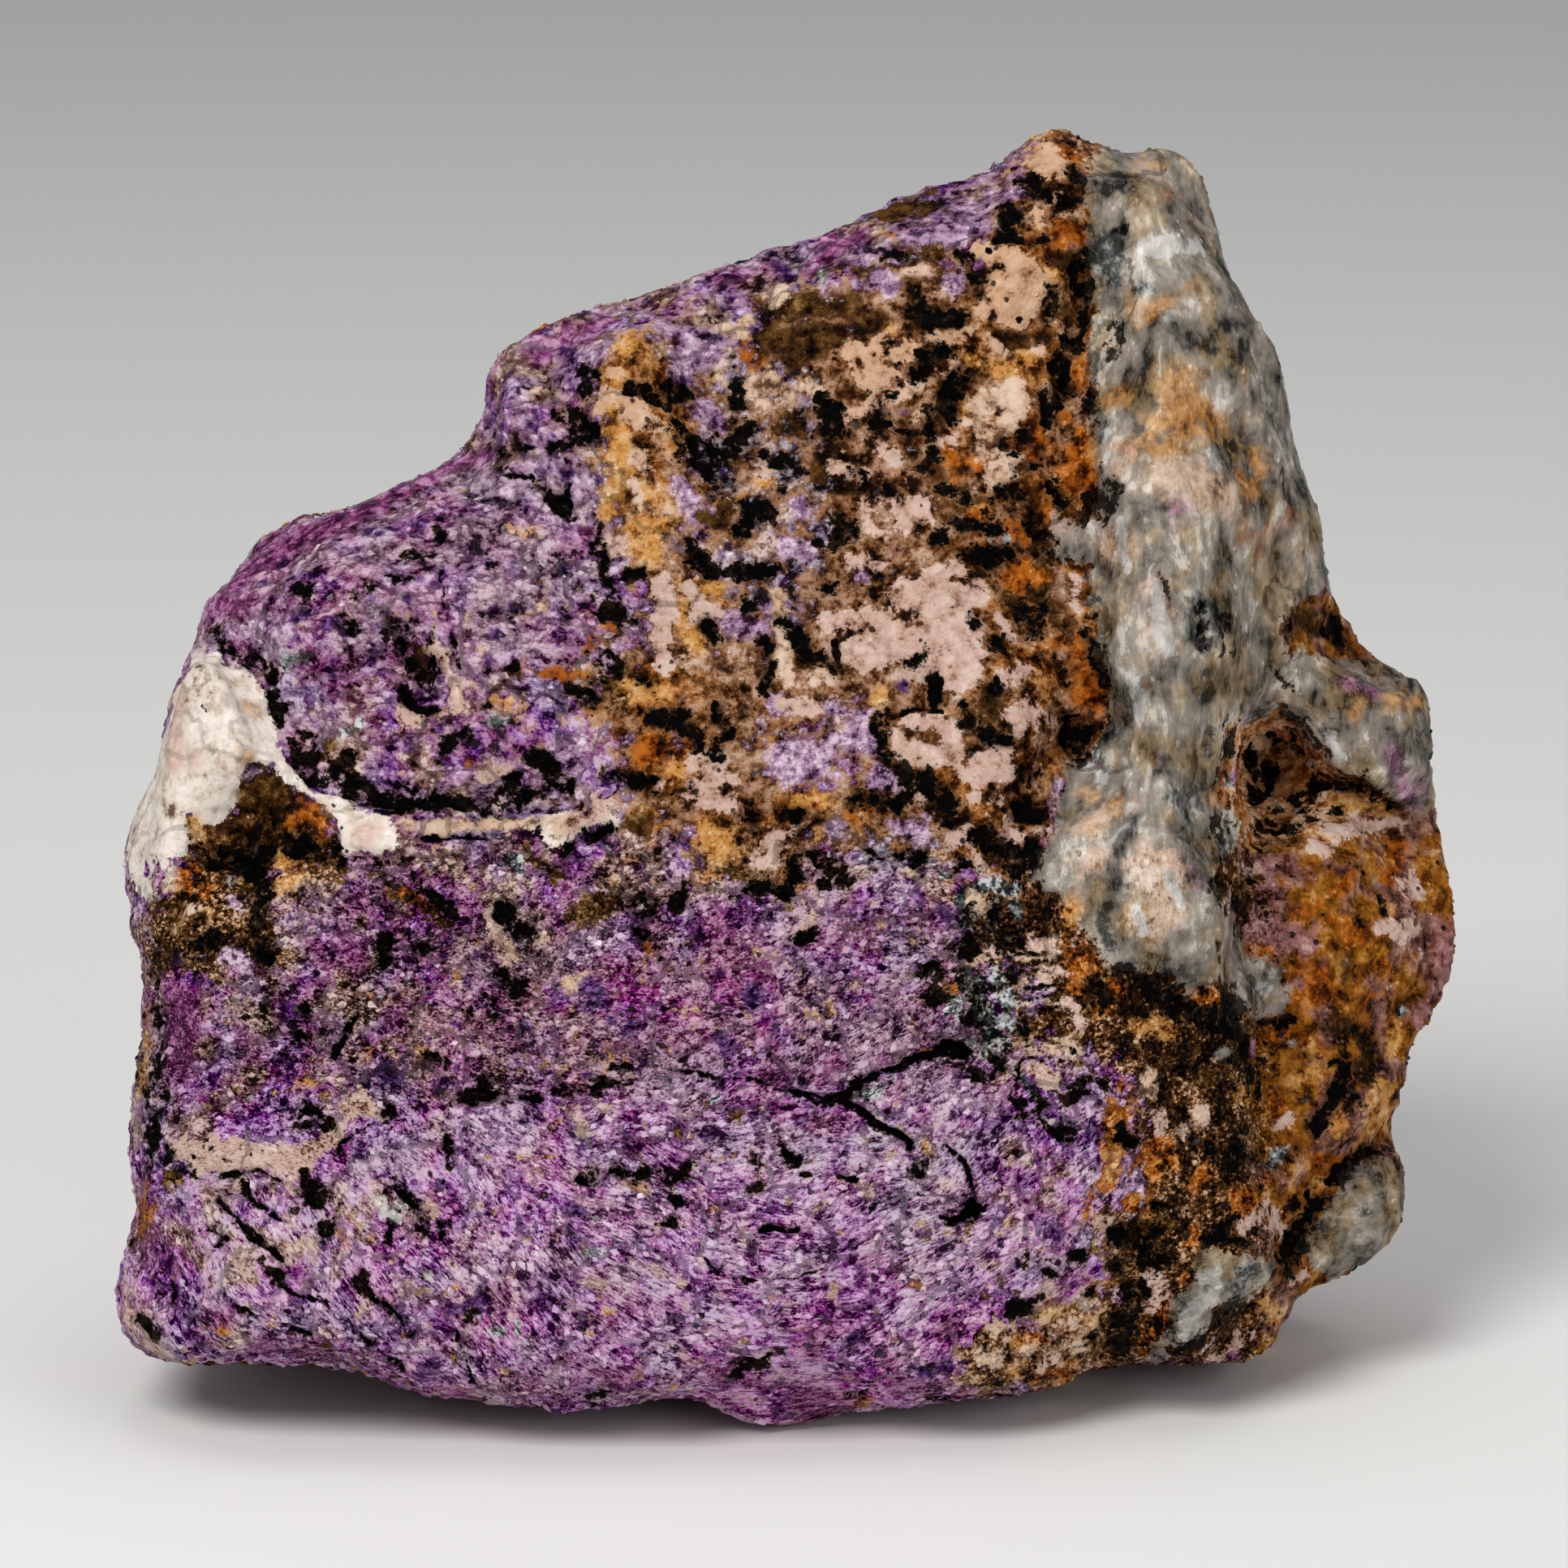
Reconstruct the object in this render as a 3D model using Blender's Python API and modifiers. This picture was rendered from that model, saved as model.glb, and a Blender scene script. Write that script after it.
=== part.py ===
"""A hand specimen of purpurite: one broken piece of rock that stands on a flat fracture.

The broad face is drawn in its own plane, in millimetres: right, up, and out towards the
viewer. That plane leans back from upright by FACE_LEAN, and the finished rock is turned
by it, so the face looks a little upwards while the base stays level.
"""

import math

import bpy
import bmesh
import numpy as np
from mathutils import Vector, noise

MM = 0.001
FACE_LEAN = math.radians(12)

# The rock's outline, seen square on: right and up, clockwise from the brown peak
OUTLINE = [
    (16.7, 80.1), (18.9, 78.9), (20.9, 78.0), (23.7, 78.5), (25.2, 77.0), (25.9, 74.4),
    (26.7, 71.1), (28.2, 67.4), (29.9, 64.6), (31.2, 60.4), (32.2, 56.4), (32.3, 52.4),
    (33.9, 50.4), (35.7, 48.3), (38.4, 46.5), (39.5, 45.4), (39.4, 38.4), (40.0, 35.9),
    (41.1, 31.0), (41.1, 28.4), (39.9, 26.1), (38.1, 24.4), (37.7, 21.4), (37.6, 17.8),
    (38.5, 15.6), (37.6, 12.6), (34.2, 10.1), (31.6, 9.3), (30.5, 8.0), (29.3, 5.4),
    (27.4, 4.2), (22.4, 3.8), (18.7, 3.3), (16.7, 2.3), (11.7, 2.0), (4.7, 0.8),
    (0.4, 0.0), (-1.8, 0.4), (-5.8, 1.9), (-10.3, 1.6), (-18.3, 1.6), (-22.3, 2.0),
    (-26.8, 4.2), (-32.8, 5.0), (-38.0, 5.0), (-40.4, 6.6), (-41.2, 8.9), (-40.4, 11.9),
    (-39.8, 14.4), (-40.4, 16.6), (-40.3, 20.4), (-39.5, 23.9), (-39.1, 28.9), (-40.2, 31.0),
    (-40.4, 34.4), (-40.0, 37.9), (-38.5, 40.9), (-38.0, 43.9), (-37.3, 46.6), (-36.1, 49.9),
    (-35.8, 51.4), (-33.3, 53.9), (-30.8, 55.4), (-26.8, 57.1), (-22.3, 59.4), (-18.8, 61.0),
    (-18.4, 64.4), (-17.7, 66.1), (-15.8, 67.0), (-12.3, 68.5), (-7.3, 70.3), (-1.3, 72.1),
    (1.7, 73.4), (4.7, 75.4), (7.7, 76.3), (13.4, 77.7), (14.9, 79.1),
]
OUTLINE_CENTRE = (0.0, 38.0)
OUTLINE_STEP = 1.6
SHELL_RINGS = 29

# How the rim lies at each bearing from the centre: bearing in degrees, how far out the
# rim is, and how far in from it the face and the back take to reach their full depth
RIM = [
    (0, -4.0, 3.0, 7.0), (30, -5.0, 3.5, 8.0), (52, -5.0, 4.5, 7.0), (68, 0.0, 3.0, 6.0),
    (95, 0.5, 4.5, 8.0), (125, 3.0, 3.5, 9.0), (147, 4.0, 6.5, 10.0), (168, 8.0, 3.5, 8.0),
    (190, 10.0, 2.2, 6.0), (217, 11.0, 1.8, 4.0), (235, 12.0, 2.2, 2.5), (270, 14.0, 2.4, 1.5),
    (300, 9.0, 3.0, 2.0), (320, 3.0, 3.0, 4.0), (338, -4.0, 2.6, 6.0), (360, -4.0, 3.0, 7.0),
]

# Broken faces as planes: right, up and out of a point, then the slope to the right and up
FACE_PLANES = [
    (-10, 15, 20.5, 0.02, -0.04),   # lower purple face
    (-20, 45, 16.2, 0.11, -0.29),   # upper left lobe
    (5, 60, 13.8, -0.03, -0.25),    # mottled top
    (27.0, 50, 12.6, -0.85, -0.2),  # right flank of the quartz
    (22, 12, 16.5, -0.6, 0.32),     # lower right corner
    (0, 3.5, 19.0, 0.0, 1.5),       # lip that turns under
    (-37, 24, 17.6, 0.9, 0.0),      # left shoulder
]
# The shelf along the right side: it starts below the wall that this path runs down
WALL = [
    (34, 51.6), (31.2, 49), (29.6, 46), (27.2, 43.6), (27.2, 38), (27.6, 29.6), (28.9, 25.6),
    (29.2, 13.4), (31.4, 7),
]
WALL_WIDTH = 2.2
SHELF_PLANES = [(31, 25, 8.0, -0.75, -0.12), (31, 25, 7.2, -0.2, -0.12)]
BACK_PLANES = [
    (0, 30, -24.5, 0.05, 0.09),     # main break
    (5, 64, -16.0, 0.06, 0.75),     # top
    (28, 35, -18.0, 0.85, 0.06),    # right
    (-30, 30, -18.5, -0.7, 0.1),    # left
    (-14, 12, -25.5, -0.16, -0.22), # foot, left
    (14, 50, -20.5, 0.34, 0.3),     # shoulder, upper right
]
PLANE_BLEND = 1.2

# Blocks that stand out of the rock, by their corners: right, up, out
BLOCKS = {
    "quartz_top": [
        (22.6, 77.6, 9.4), (23.4, 66.0, 15.4), (19.0, 76.4, 8.4), (18.8, 64.0, 12.2),
        (25.6, 74.6, 7.4), (28.4, 66.4, 9.4), (28.0, 62.6, 11.6), (22.0, 62.4, 15.2),
        (19.2, 75, -4), (29.0, 63, -4), (25.6, 75.6, -4),
    ],
    "quartz_middle": [
        (22.2, 63.0, 15.6), (22.6, 50.0, 19.0), (18.8, 58.0, 13.4), (18.9, 50.4, 15.4),
        (27.0, 61.0, 13.2), (30.2, 57.0, 9.2), (30.6, 49.4, 9.4), (26.6, 48.6, 16.4),
        (20, 60, -4), (31, 57, -4), (30.6, 50, -4),
    ],
    "quartz_lower": [
        (21.8, 52.0, 18.4), (22.6, 40.0, 20.6), (18.9, 50.0, 14.6), (18.8, 41.0, 17.4),
        (27.4, 50.6, 14.6), (26.8, 42.6, 16.2), (26.6, 38.4, 16.2),
        (20, 50, 2), (27, 50, 2), (26.4, 40, 2),
    ],
    "quartz_foot": [
        (22.0, 41.6, 20.0), (25.2, 30.8, 20.4), (18.6, 40.0, 17.6), (15.8, 35.0, 19.2),
        (26.8, 38.6, 15.0), (27.5, 29.6, 15.4), (21.0, 30.8, 20.0), (20, 38, 4), (27, 32, 4),
    ],
    "back_slab": [
        (27.2, 69.4, 6.4), (31.9, 57.0, 5.6), (32.2, 53.0, 4.6), (30.6, 52.0, 7.6),
        (29.2, 62.0, 9.2), (27.4, 69, -8), (32, 57, -8), (32, 53, -8),
    ],
    "brown_peak": [
        (15.0, 79.4, 1.5), (18.6, 79.4, 1.5), (17.2, 80.2, 0.0), (13.4, 73.0, 11.0),
        (18.2, 72.0, 11.6), (14.0, 76.6, -4), (18.4, 77.0, -4),
    ],
    "right_beak": [
        (30.4, 48.6, 6.6), (39.3, 45.4, 3.2), (39.1, 38.5, 2.0), (36.0, 40.2, 4.8),
        (32.4, 42.4, 6.6), (31.0, 50.2, -8), (39.4, 45.8, -7), (39.2, 38.3, -7), (32, 41, -8),
    ],
    "grey_lump": [
        (34.8, 15.6, 5.4), (37.4, 17.4, 3.0), (38.7, 15.6, 1.0), (38.2, 13.4, 2.6),
        (36.6, 11.0, 4.4), (32.4, 10.4, 6.6), (33.0, 13.4, 6.8), (35, 16, -12), (38.4, 15, -11),
        (36.8, 12.4, -11), (33.0, 10.0, -11),
    ],
    "corner_quartz": [
        (22.5, 4.6, 14.4), (25.2, 10.0, 15.6), (28.4, 11.6, 14.0), (30.4, 10.8, 11.4),
        (27.6, 7.0, 13.4), (24.8, 4.4, 13.4), (24, 6, 0), (29.6, 10.4, 0), (28, 6.4, 0),
    ],
    "side_crystal": [
        (28.1, 28.9, 9.4), (30.6, 29.3, 7.6), (31.2, 25.8, 6.6), (29.4, 25.2, 8.4),
        (28.2, 26.2, 9.6), (28, 29.4, 0), (31, 29.2, 0), (31, 25.4, 0), (28, 25.6, 0),
    ],
    "white_vein": [
        (-36.6, 49.4, 15.4), (-34.2, 47.4, 17.0), (-32.6, 42.6, 18.2), (-37.8, 43.0, 16.0),
        (-39.8, 35.0, 15.0), (-36.4, 35.6, 17.4), (-37, 48, 8), (-39, 36, 8), (-33, 42, 8),
    ],
    "left_block": [
        (-18.2, 65.4, 8.6), (-14.0, 67.6, 8.2), (-9.0, 66.0, 12.2), (-10.6, 58.0, 14.6),
        (-17.4, 60.4, 12.6), (-18.0, 65, 2), (-12, 69, 2), (-10, 60, 2), (-17.6, 61, 2),
    ],
    "foot_lump": [
        (-41.2, 8.8, 12.6), (-39.2, 10.6, 16.0), (-38.0, 6.8, 16.4), (-38.2, 5.2, 13.6),
        (-40.6, 6.2, 12.6), (-40.4, 8.6, 6), (-38.4, 5.4, 6),
    ],
}

# Relief on the face: a path, its half width, and how far it stands out or is cut in
RIDGES = {
    "shelf_bulge": ([(34.5, 33), (36.5, 24)], 4.5, 2.0),
    "shelf_edge": ([(36.6, 20), (32.6, 16.8), (29.8, 13.4)], 1.8, 1.4),
    "vein_arm": ([(-33, 42), (-29, 38.6), (-26.5, 36.6), (-20, 37)], 1.3, 1.1),
    "lower_slab": ([(4.5, 34.3), (11.5, 33.4)], 2.0, 1.3),
    "pale_plates": ([(-6, 53), (-8, 60), (-10, 65)], 2.4, 0.8),
    "tan_plate": ([(8, 50), (13, 47), (12, 41)], 4.0, 1.0),
    "tan_band": ([(-37, 18.6), (-31, 19.6), (-25.5, 18.8)], 1.5, 0.6),
    "fibre_ridge": ([(-24, 9), (-12, 14), (0, 12)], 2.6, 0.8),
}
QUARTZ_CREVICE = [
    (18.6, 75), (18.8, 67), (17.6, 61), (17.6, 56.5), (18.6, 50), (18.6, 43), (16.8, 38.6),
]
VEIN_SHADOW = [(-33.2, 48), (-31, 45.5), (-30.2, 42), (-27, 39), (-22, 38.4), (-14, 39)]
GROOVES = {
    "quartz_crevice": (QUARTZ_CREVICE, 1.3, 3.4),
    "vein_shadow": (VEIN_SHADOW, 1.3, 2.0),
    "vein_underside": ([(-33.5, 36.5), (-29.5, 35.8), (-27.5, 34.2)], 2.4, 2.4),
    "slab_shadow": ([(-1, 35.6), (4.6, 36.0), (12.6, 35.2), (15.5, 32.6)], 1.1, 2.0),
    "fork_left": ([(-9.5, 22.8), (-2.5, 21.6), (3.6, 19.8)], 0.9, 0.9),
    "fork_right": ([(3.6, 19.8), (9.4, 23.4), (14.2, 24.0)], 1.2, 1.8),
    "fork_down": ([(3.6, 19.8), (8.4, 17.2), (11.8, 14.4)], 1.1, 1.5),
    "left_ledge": ([(-38, 20.6), (-31, 21.6), (-24.6, 20.6)], 1.1, 1.2),
    "middle_ledge": ([(-20, 20.2), (-14, 21.2), (-9, 21.6)], 0.9, 0.6),
    "low_pit_line": ([(-12, 16), (-7.4, 15.6), (-6.4, 13.4)], 1.2, 1.8),
    "low_left_crack": ([(-33.5, 15.4), (-29.8, 11.8), (-25.2, 9.2)], 1.0, 1.1),
    "shoulder_pit": ([(-23.6, 48.4), (-22, 45.2)], 1.4, 1.8),
    "side_crack": ([(29.2, 24), (29, 20), (29.4, 13.6)], 1.2, 2.8),
    "under_beak": ([(31.0, 42.0), (33.6, 39.8), (37.6, 37.6)], 1.6, 4.5),
    "lump_gap": ([(37.8, 18.4), (33.4, 15.6), (30.8, 12.4)], 1.1, 4.0),
    "corner_gap": ([(26.8, 5.5), (29.4, 8.0)], 1.0, 2.4),
    "black_seam": ([(12.8, 64), (10.4, 60.6), (5.6, 58.4), (-3.6, 60), (-5.6, 66)], 1.8, 1.1),
    "rust_seam": ([(15.4, 56.5), (14.4, 51), (16.0, 46.6), (16.6, 41.6)], 1.6, 1.8),
    "tan_edge": ([(7, 44), (9.6, 41), (13.8, 37.4)], 1.0, 1.2),
    "lobe_step": ([(-18, 60.5), (-15, 57.5), (-10, 56)], 1.4, 0.5),
}
# Bowls and swells: centre, radii, and depth or height
HOLLOWS = {
    "side_cavity": ((30.2, 40.4), (2.8, 3.8), 6.5),
    "mid_hollow": ((-17, 30), (9, 4.5), 1.9),
    "right_brown": ((23.5, 21), (4.5, 4.0), 1.7),
    "foot_hollow": ((14, 6.6), (6, 2.6), 1.1),
    "top_saddle": ((-2, 63), (6, 4), 1.1),
    "slot": ((-22.2, 47.2), (1.6, 3.2), 1.4),
}
SWELLS = {
    "lobe": ((-24, 50), (9, 6), 1.7),
    "low_belly": ((-8, 11), (16, 6), 1.5),
    "left_belly": ((-31, 12), (6, 6), 0.8),
}
# Pits and broken steps all over: size, height on the face, height elsewhere, noise seat
ROUGH = [(13.0, 0.9, 1.2, 3.1), (6.0, 0.6, 0.5, 11.7), (2.9, 0.36, 0.1, 27.3)]
STEP_HEIGHT = 1.1
STEP_SIZE = 9.0
STEP_TREADS = 3
RISER_SHARE = 0.3
# Shell-shaped chips out of the back: size and depth
CHIPS = [(17.0, 3.2), (8.0, 1.1)]
CHIP_LEVEL = 0.4
# A surface has a side's full relief once its normal has turned this far to that side
FULL_TURN = 0.5
HIDDEN_RIM = 0.2

VOXEL = 0.9
EASE_BEFORE = 2
EASE_AFTER = 1
TRIANGLES = 9300
EYE_DISTANCE = 510.0        # the outline is drawn as seen from here,
EYE_PLANE = 12.0            # at its true size only this far out
BASE_DEPTH = 14.0           # how far out the rock first touches the ground
BASE_SPAN = 140.0

STONE_COLOUR = (0.30, 0.165, 0.262, 1.0)


def clear_scene():
    for obj in list(bpy.data.objects):
        bpy.data.objects.remove(obj, do_unlink=True)


def new_collection(name):
    made = bpy.data.collections.new(name)
    bpy.context.scene.collection.children.link(made)
    return made


def stone_material():
    made = bpy.data.materials.new("purpurite_stone")
    made.use_nodes = True
    shader = made.node_tree.nodes["Principled BSDF"]
    shader.inputs["Base Color"].default_value = STONE_COLOUR
    shader.inputs["Roughness"].default_value = 0.6
    shader.inputs["Metallic"].default_value = 0.0
    return made


def even_outline():
    """The outline at its true size, as points about OUTLINE_STEP apart, its corners kept."""
    points = []
    for here, there in zip(OUTLINE, OUTLINE[1:] + OUTLINE[:1]):
        count = max(1, round(math.dist(here, there) / OUTLINE_STEP))
        for k in range(count):
            share = k / count
            points.append([a + (b - a) * share for a, b in zip(here, there)])
    points = np.array(points)
    nearer = 1 + (EYE_PLANE - rim_at(points)[0]) / EYE_DISTANCE
    return (points - OUTLINE_CENTRE) * nearer[:, None] + OUTLINE_CENTRE


def path_distance(spots, path, closed=False):
    """Distance in the face's plane from each spot to a path."""
    corners = np.array(list(path) + ([path[0]] if closed else []), float)
    nearest = np.full(len(spots), np.inf)
    for a, b in zip(corners[:-1], corners[1:]):
        run = b - a
        share = np.clip((spots - a) @ run / (run @ run), 0, 1)
        nearest = np.minimum(nearest, np.linalg.norm(spots - a - share[:, None] * run, axis=1))
    return nearest


def rim_at(spots):
    """Rim depth, face roll and back roll at each spot's bearing."""
    away = spots - np.array(OUTLINE_CENTRE)
    bearing = np.degrees(np.arctan2(away[:, 1], away[:, 0])) % 360
    stations = np.array(RIM)
    return [np.interp(bearing, stations[:, 0], stations[:, k]) for k in (1, 2, 3)]


def past_wall(spots):
    """How far each spot is to the right of and below the wall, or 0 on the near side."""
    away = path_distance(spots, WALL)
    rights, ups = np.array(WALL).T
    foot = np.interp(-spots[:, 1], -ups, rights)
    return np.where((spots[:, 0] > foot) & (spots[:, 1] < ups[0]), away, 0)


def plane_heights(spots, planes):
    return np.array([
        out + right * (spots[:, 0] - u) + up * (spots[:, 1] - v)
        for u, v, out, right, up in planes
    ])


def soft_least(heights, blend=PLANE_BLEND):
    """The least of several heights, with the corner between two of them rounded."""
    least = heights.min(axis=0)
    return least - blend * np.log(np.exp(-(heights - least) / blend).sum(axis=0))


def rounded(share):
    share = np.clip(share, 0, 1)
    return np.sqrt(1 - (1 - share) ** 2)


def face_depth(spots):
    rim, roll, _ = rim_at(spots)
    full = soft_least(plane_heights(spots, FACE_PLANES))
    shelf = soft_least(plane_heights(spots, SHELF_PLANES))
    down = rounded(past_wall(spots) / WALL_WIDTH) * (full > shelf)
    full = full + (shelf - full) * down
    share = path_distance(spots, OUTLINE, closed=True) / roll
    return rim + (full - rim) * rounded(share)


def back_depth(spots):
    rim, _, roll = rim_at(spots)
    full = -soft_least(-plane_heights(spots, BACK_PLANES))
    share = path_distance(spots, OUTLINE, closed=True) / roll
    return rim + (full - rim) * rounded(share)


def shell_object(collection):
    """Rings run in from the outline to the centre, once over the face and once over the back."""
    rim = even_outline()
    centre = np.array(OUTLINE_CENTRE)
    shares = np.sin(np.linspace(0, math.pi / 2, SHELL_RINGS + 1))[1:]
    mesh = bmesh.new()
    sides = []
    for depth in (face_depth, back_depth):
        rings = []
        for share in shares[:-1]:
            spots = centre + (rim - centre) * share
            rings.append([mesh.verts.new((u, v, w)) for (u, v), w in zip(spots, depth(spots))])
        sides.append((mesh.verts.new((*centre, depth(centre[None])[0])), rings))
    edge = [mesh.verts.new((u, v, w)) for (u, v), w in zip(rim, face_depth(rim))]
    count = len(rim)
    for side, (middle, rings) in enumerate(sides):
        rings = rings + [edge]
        for k in range(count):
            after = (k + 1) % count
            first = [middle, rings[0][k], rings[0][after]]
            mesh.faces.new(first if side else first[::-1])
            for inner, outer in zip(rings[:-1], rings[1:]):
                quad = [inner[k], outer[k], outer[after], inner[after]]
                mesh.faces.new(quad if side else quad[::-1])
    bmesh.ops.recalc_face_normals(mesh, faces=mesh.faces)
    bmesh.ops.scale(mesh, vec=(MM, MM, MM), verts=mesh.verts)
    data = bpy.data.meshes.new("rock_shell")
    mesh.to_mesh(data)
    mesh.free()
    obj = bpy.data.objects.new("rock_shell", data)
    collection.objects.link(obj)
    return obj


def block_object(name, corners, collection):
    mesh = bmesh.new()
    for corner in corners:
        mesh.verts.new(Vector(corner) * MM)
    bmesh.ops.convex_hull(mesh, input=mesh.verts)
    bmesh.ops.recalc_face_normals(mesh, faces=mesh.faces)
    data = bpy.data.meshes.new(name)
    mesh.to_mesh(data)
    mesh.free()
    obj = bpy.data.objects.new(name, data)
    obj.hide_render = True
    obj.display_type = "WIRE"
    collection.objects.link(obj)
    return obj


def join_blocks(rock, cutters):
    for name, corners in BLOCKS.items():
        grow = rock.modifiers.new(name, "BOOLEAN")
        grow.operation = "UNION"
        grow.object = block_object(name, corners, cutters)
        grow.solver = "EXACT"
    bpy.context.view_layer.update()
    settle(rock)


def settle(obj):
    """Turns an object's modifiers into its mesh."""
    graph = bpy.context.evaluated_depsgraph_get()
    data = bpy.data.meshes.new_from_object(obj.evaluated_get(graph))
    obj.modifiers.clear()
    obj.data = data


def even_mesh(obj, voxel, rounds):
    """Spreads the faces evenly, so that relief can be pushed into them anywhere."""
    remesh = obj.modifiers.new("even", "REMESH")
    remesh.mode = "VOXEL"
    remesh.voxel_size = voxel * MM
    smooth = obj.modifiers.new("ease", "SMOOTH")
    smooth.factor = 0.5
    smooth.iterations = rounds
    settle(obj)


def points_of(data, kind="co"):
    values = np.empty(len(data.vertices) * 3)
    data.vertices.foreach_get(kind, values)
    return values.reshape(-1, 3)


def step_noise(seat):
    """Noise cut into flat treads with steep risers, as a broken cleavage has."""
    value = noise.noise(seat) * STEP_TREADS
    tread = math.floor(value)
    riser = min(1.0, (value - tread) / RISER_SHARE)
    return (tread + riser * riser * (3 - 2 * riser)) / STEP_TREADS


def carve_face(obj):
    """Pushes the face's ridges, grooves and hollows in and out along the viewer's line."""
    points = points_of(obj.data) / MM
    facing = np.clip(points_of(obj.data, "normal")[:, 2] / FULL_TURN, 0, 1)
    spots = points[:, :2]
    move = np.zeros(len(points))
    for path, width, height in RIDGES.values():
        move += height * np.exp(-((path_distance(spots, path) / width) ** 4))
    for path, width, depth in GROOVES.values():
        move -= depth * np.exp(-((path_distance(spots, path) / width) ** 2))
    for features, sign in ((HOLLOWS, -1), (SWELLS, 1)):
        for centre, radii, height in features.values():
            away = (spots - np.array(centre)) / np.array(radii)
            move += sign * height * np.exp(-((away**2).sum(axis=1)))
    points[:, 2] += move * facing
    obj.data.vertices.foreach_set("co", (points * MM).ravel())
    obj.data.update()


def roughen(obj):
    """Breaks every side with noise of several sizes, along the surface's own normal."""
    points = points_of(obj.data) / MM
    normals = points_of(obj.data, "normal")
    facing = np.clip(normals[:, 2] / FULL_TURN, 0, 1)
    hidden = np.clip(HIDDEN_RIM - normals[:, 2] / FULL_TURN, 0, 1)
    steps = np.array([step_noise(Vector(seat)) for seat in points / STEP_SIZE])
    move = steps * STEP_HEIGHT * facing
    for size, depth in CHIPS:
        away = np.array([noise.voronoi(Vector(seat))[0][0] for seat in points / size])
        move += depth * (np.minimum(away, 1) ** 2 - CHIP_LEVEL) * hidden
    for size, face_height, height, seat in ROUGH:
        waves = [noise.noise(Vector(p / size) + Vector((seat,) * 3)) for p in points]
        move += np.array(waves) * (height + (face_height - height) * facing)
    points += normals * move[:, None]
    obj.data.vertices.foreach_set("co", (points * MM).ravel())
    obj.data.update()


def thin_out(obj):
    faces = sum(len(face.vertices) - 2 for face in obj.data.polygons)
    decimate = obj.modifiers.new("thin", "DECIMATE")
    decimate.ratio = min(1.0, TRIANGLES / faces)
    decimate.use_collapse_triangulate = True
    settle(obj)


def stand_up(obj):
    """Turns the face's own plane back by FACE_LEAN and drops the base level to zero."""
    points = points_of(obj.data)
    right, up, out = points.T
    lean, upright = math.sin(FACE_LEAN), math.cos(FACE_LEAN)
    back = up * lean - out * upright
    height = up * upright + out * lean - BASE_DEPTH * MM * lean
    obj.data.vertices.foreach_set("co", np.stack([right, back, height], axis=1).ravel())
    obj.data.update()


def cut_base(obj, cutters):
    """Cuts the foot off flat at the level that the rock stands on."""
    bpy.ops.mesh.primitive_cube_add(size=BASE_SPAN * MM, location=(0, 0, -BASE_SPAN * MM / 2))
    cutter = bpy.context.object
    cutter.name = "base_cutter"
    for held in list(cutter.users_collection):
        held.objects.unlink(cutter)
    cutters.objects.link(cutter)
    cutter.hide_render = True
    cutter.display_type = "WIRE"
    cut = obj.modifiers.new("base", "BOOLEAN")
    cut.operation = "DIFFERENCE"
    cut.object = cutter
    cut.solver = "EXACT"
    bpy.context.view_layer.update()
    settle(obj)


def centre_on_base(obj):
    points = points_of(obj.data)
    middle = (points.min(axis=0) + points.max(axis=0)) / 2
    points -= (middle[0], middle[1], points[:, 2].min())
    obj.data.vertices.foreach_set("co", points.ravel())
    obj.data.update()


def main():
    clear_scene()
    specimen = new_collection("purpurite_specimen")
    cutters = new_collection("cutters")
    rock = shell_object(specimen)
    join_blocks(rock, cutters)
    even_mesh(rock, VOXEL, EASE_BEFORE)
    carve_face(rock)
    even_mesh(rock, VOXEL, EASE_AFTER)
    roughen(rock)
    thin_out(rock)
    stand_up(rock)
    cut_base(rock, cutters)
    centre_on_base(rock)
    rock.name = "rock"
    rock.data.name = "rock"
    rock.data.materials.clear()
    rock.data.materials.append(stone_material())


main()
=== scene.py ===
import math
import bmesh
import bpy
import numpy as np
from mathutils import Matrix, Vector, noise


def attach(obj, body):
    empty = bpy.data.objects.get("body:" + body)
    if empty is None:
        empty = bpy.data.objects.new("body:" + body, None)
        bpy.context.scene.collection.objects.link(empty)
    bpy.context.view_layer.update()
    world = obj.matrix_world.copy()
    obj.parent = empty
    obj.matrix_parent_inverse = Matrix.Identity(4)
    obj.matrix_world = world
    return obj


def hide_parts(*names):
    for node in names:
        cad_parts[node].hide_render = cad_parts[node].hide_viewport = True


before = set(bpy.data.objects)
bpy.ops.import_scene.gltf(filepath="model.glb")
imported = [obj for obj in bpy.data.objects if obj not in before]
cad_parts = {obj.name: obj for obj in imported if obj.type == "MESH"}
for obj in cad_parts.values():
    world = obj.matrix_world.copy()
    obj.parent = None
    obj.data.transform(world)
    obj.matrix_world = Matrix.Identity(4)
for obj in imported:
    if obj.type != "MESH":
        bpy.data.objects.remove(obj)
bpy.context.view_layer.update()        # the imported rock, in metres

mm = 0.001
print("stage: frame loaded")

# How a place on the rock, in millimetres, is seen in the photograph
photoView = {
    "lean": 12.0,            # the camera looks down by this many degrees
    "slideX": 0.743, "slideY": 6.482, "drop": 2.911,   # from the rock's frame to the picture plane
    "eye": 510.0,            # distance from the eye to the plane below
    "plane": 12.0,           # this far in front of the middle a millimetre is 20 pixels
    "middleU": -0.1, "middleV": 39.95,
    "pixel": 0.05, "zeroX": 968.0, "zeroY": 1765.0,
    "lens": 190.06, "spot": (-0.000843, -0.50877, 0.14470),
}
leanSin = math.sin(math.radians(photoView["lean"]))
leanCos = math.cos(math.radians(photoView["lean"]))
towardsEye = np.array([0.0, -leanCos, leanSin])


def faceFrame(points):        # millimetres across, up and out of the picture plane
    y = points[:, 1] + photoView["slideY"]
    z = points[:, 2] + photoView["drop"]
    return points[:, 0] + photoView["slideX"], y * leanSin + z * leanCos, z * leanSin - y * leanCos


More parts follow.
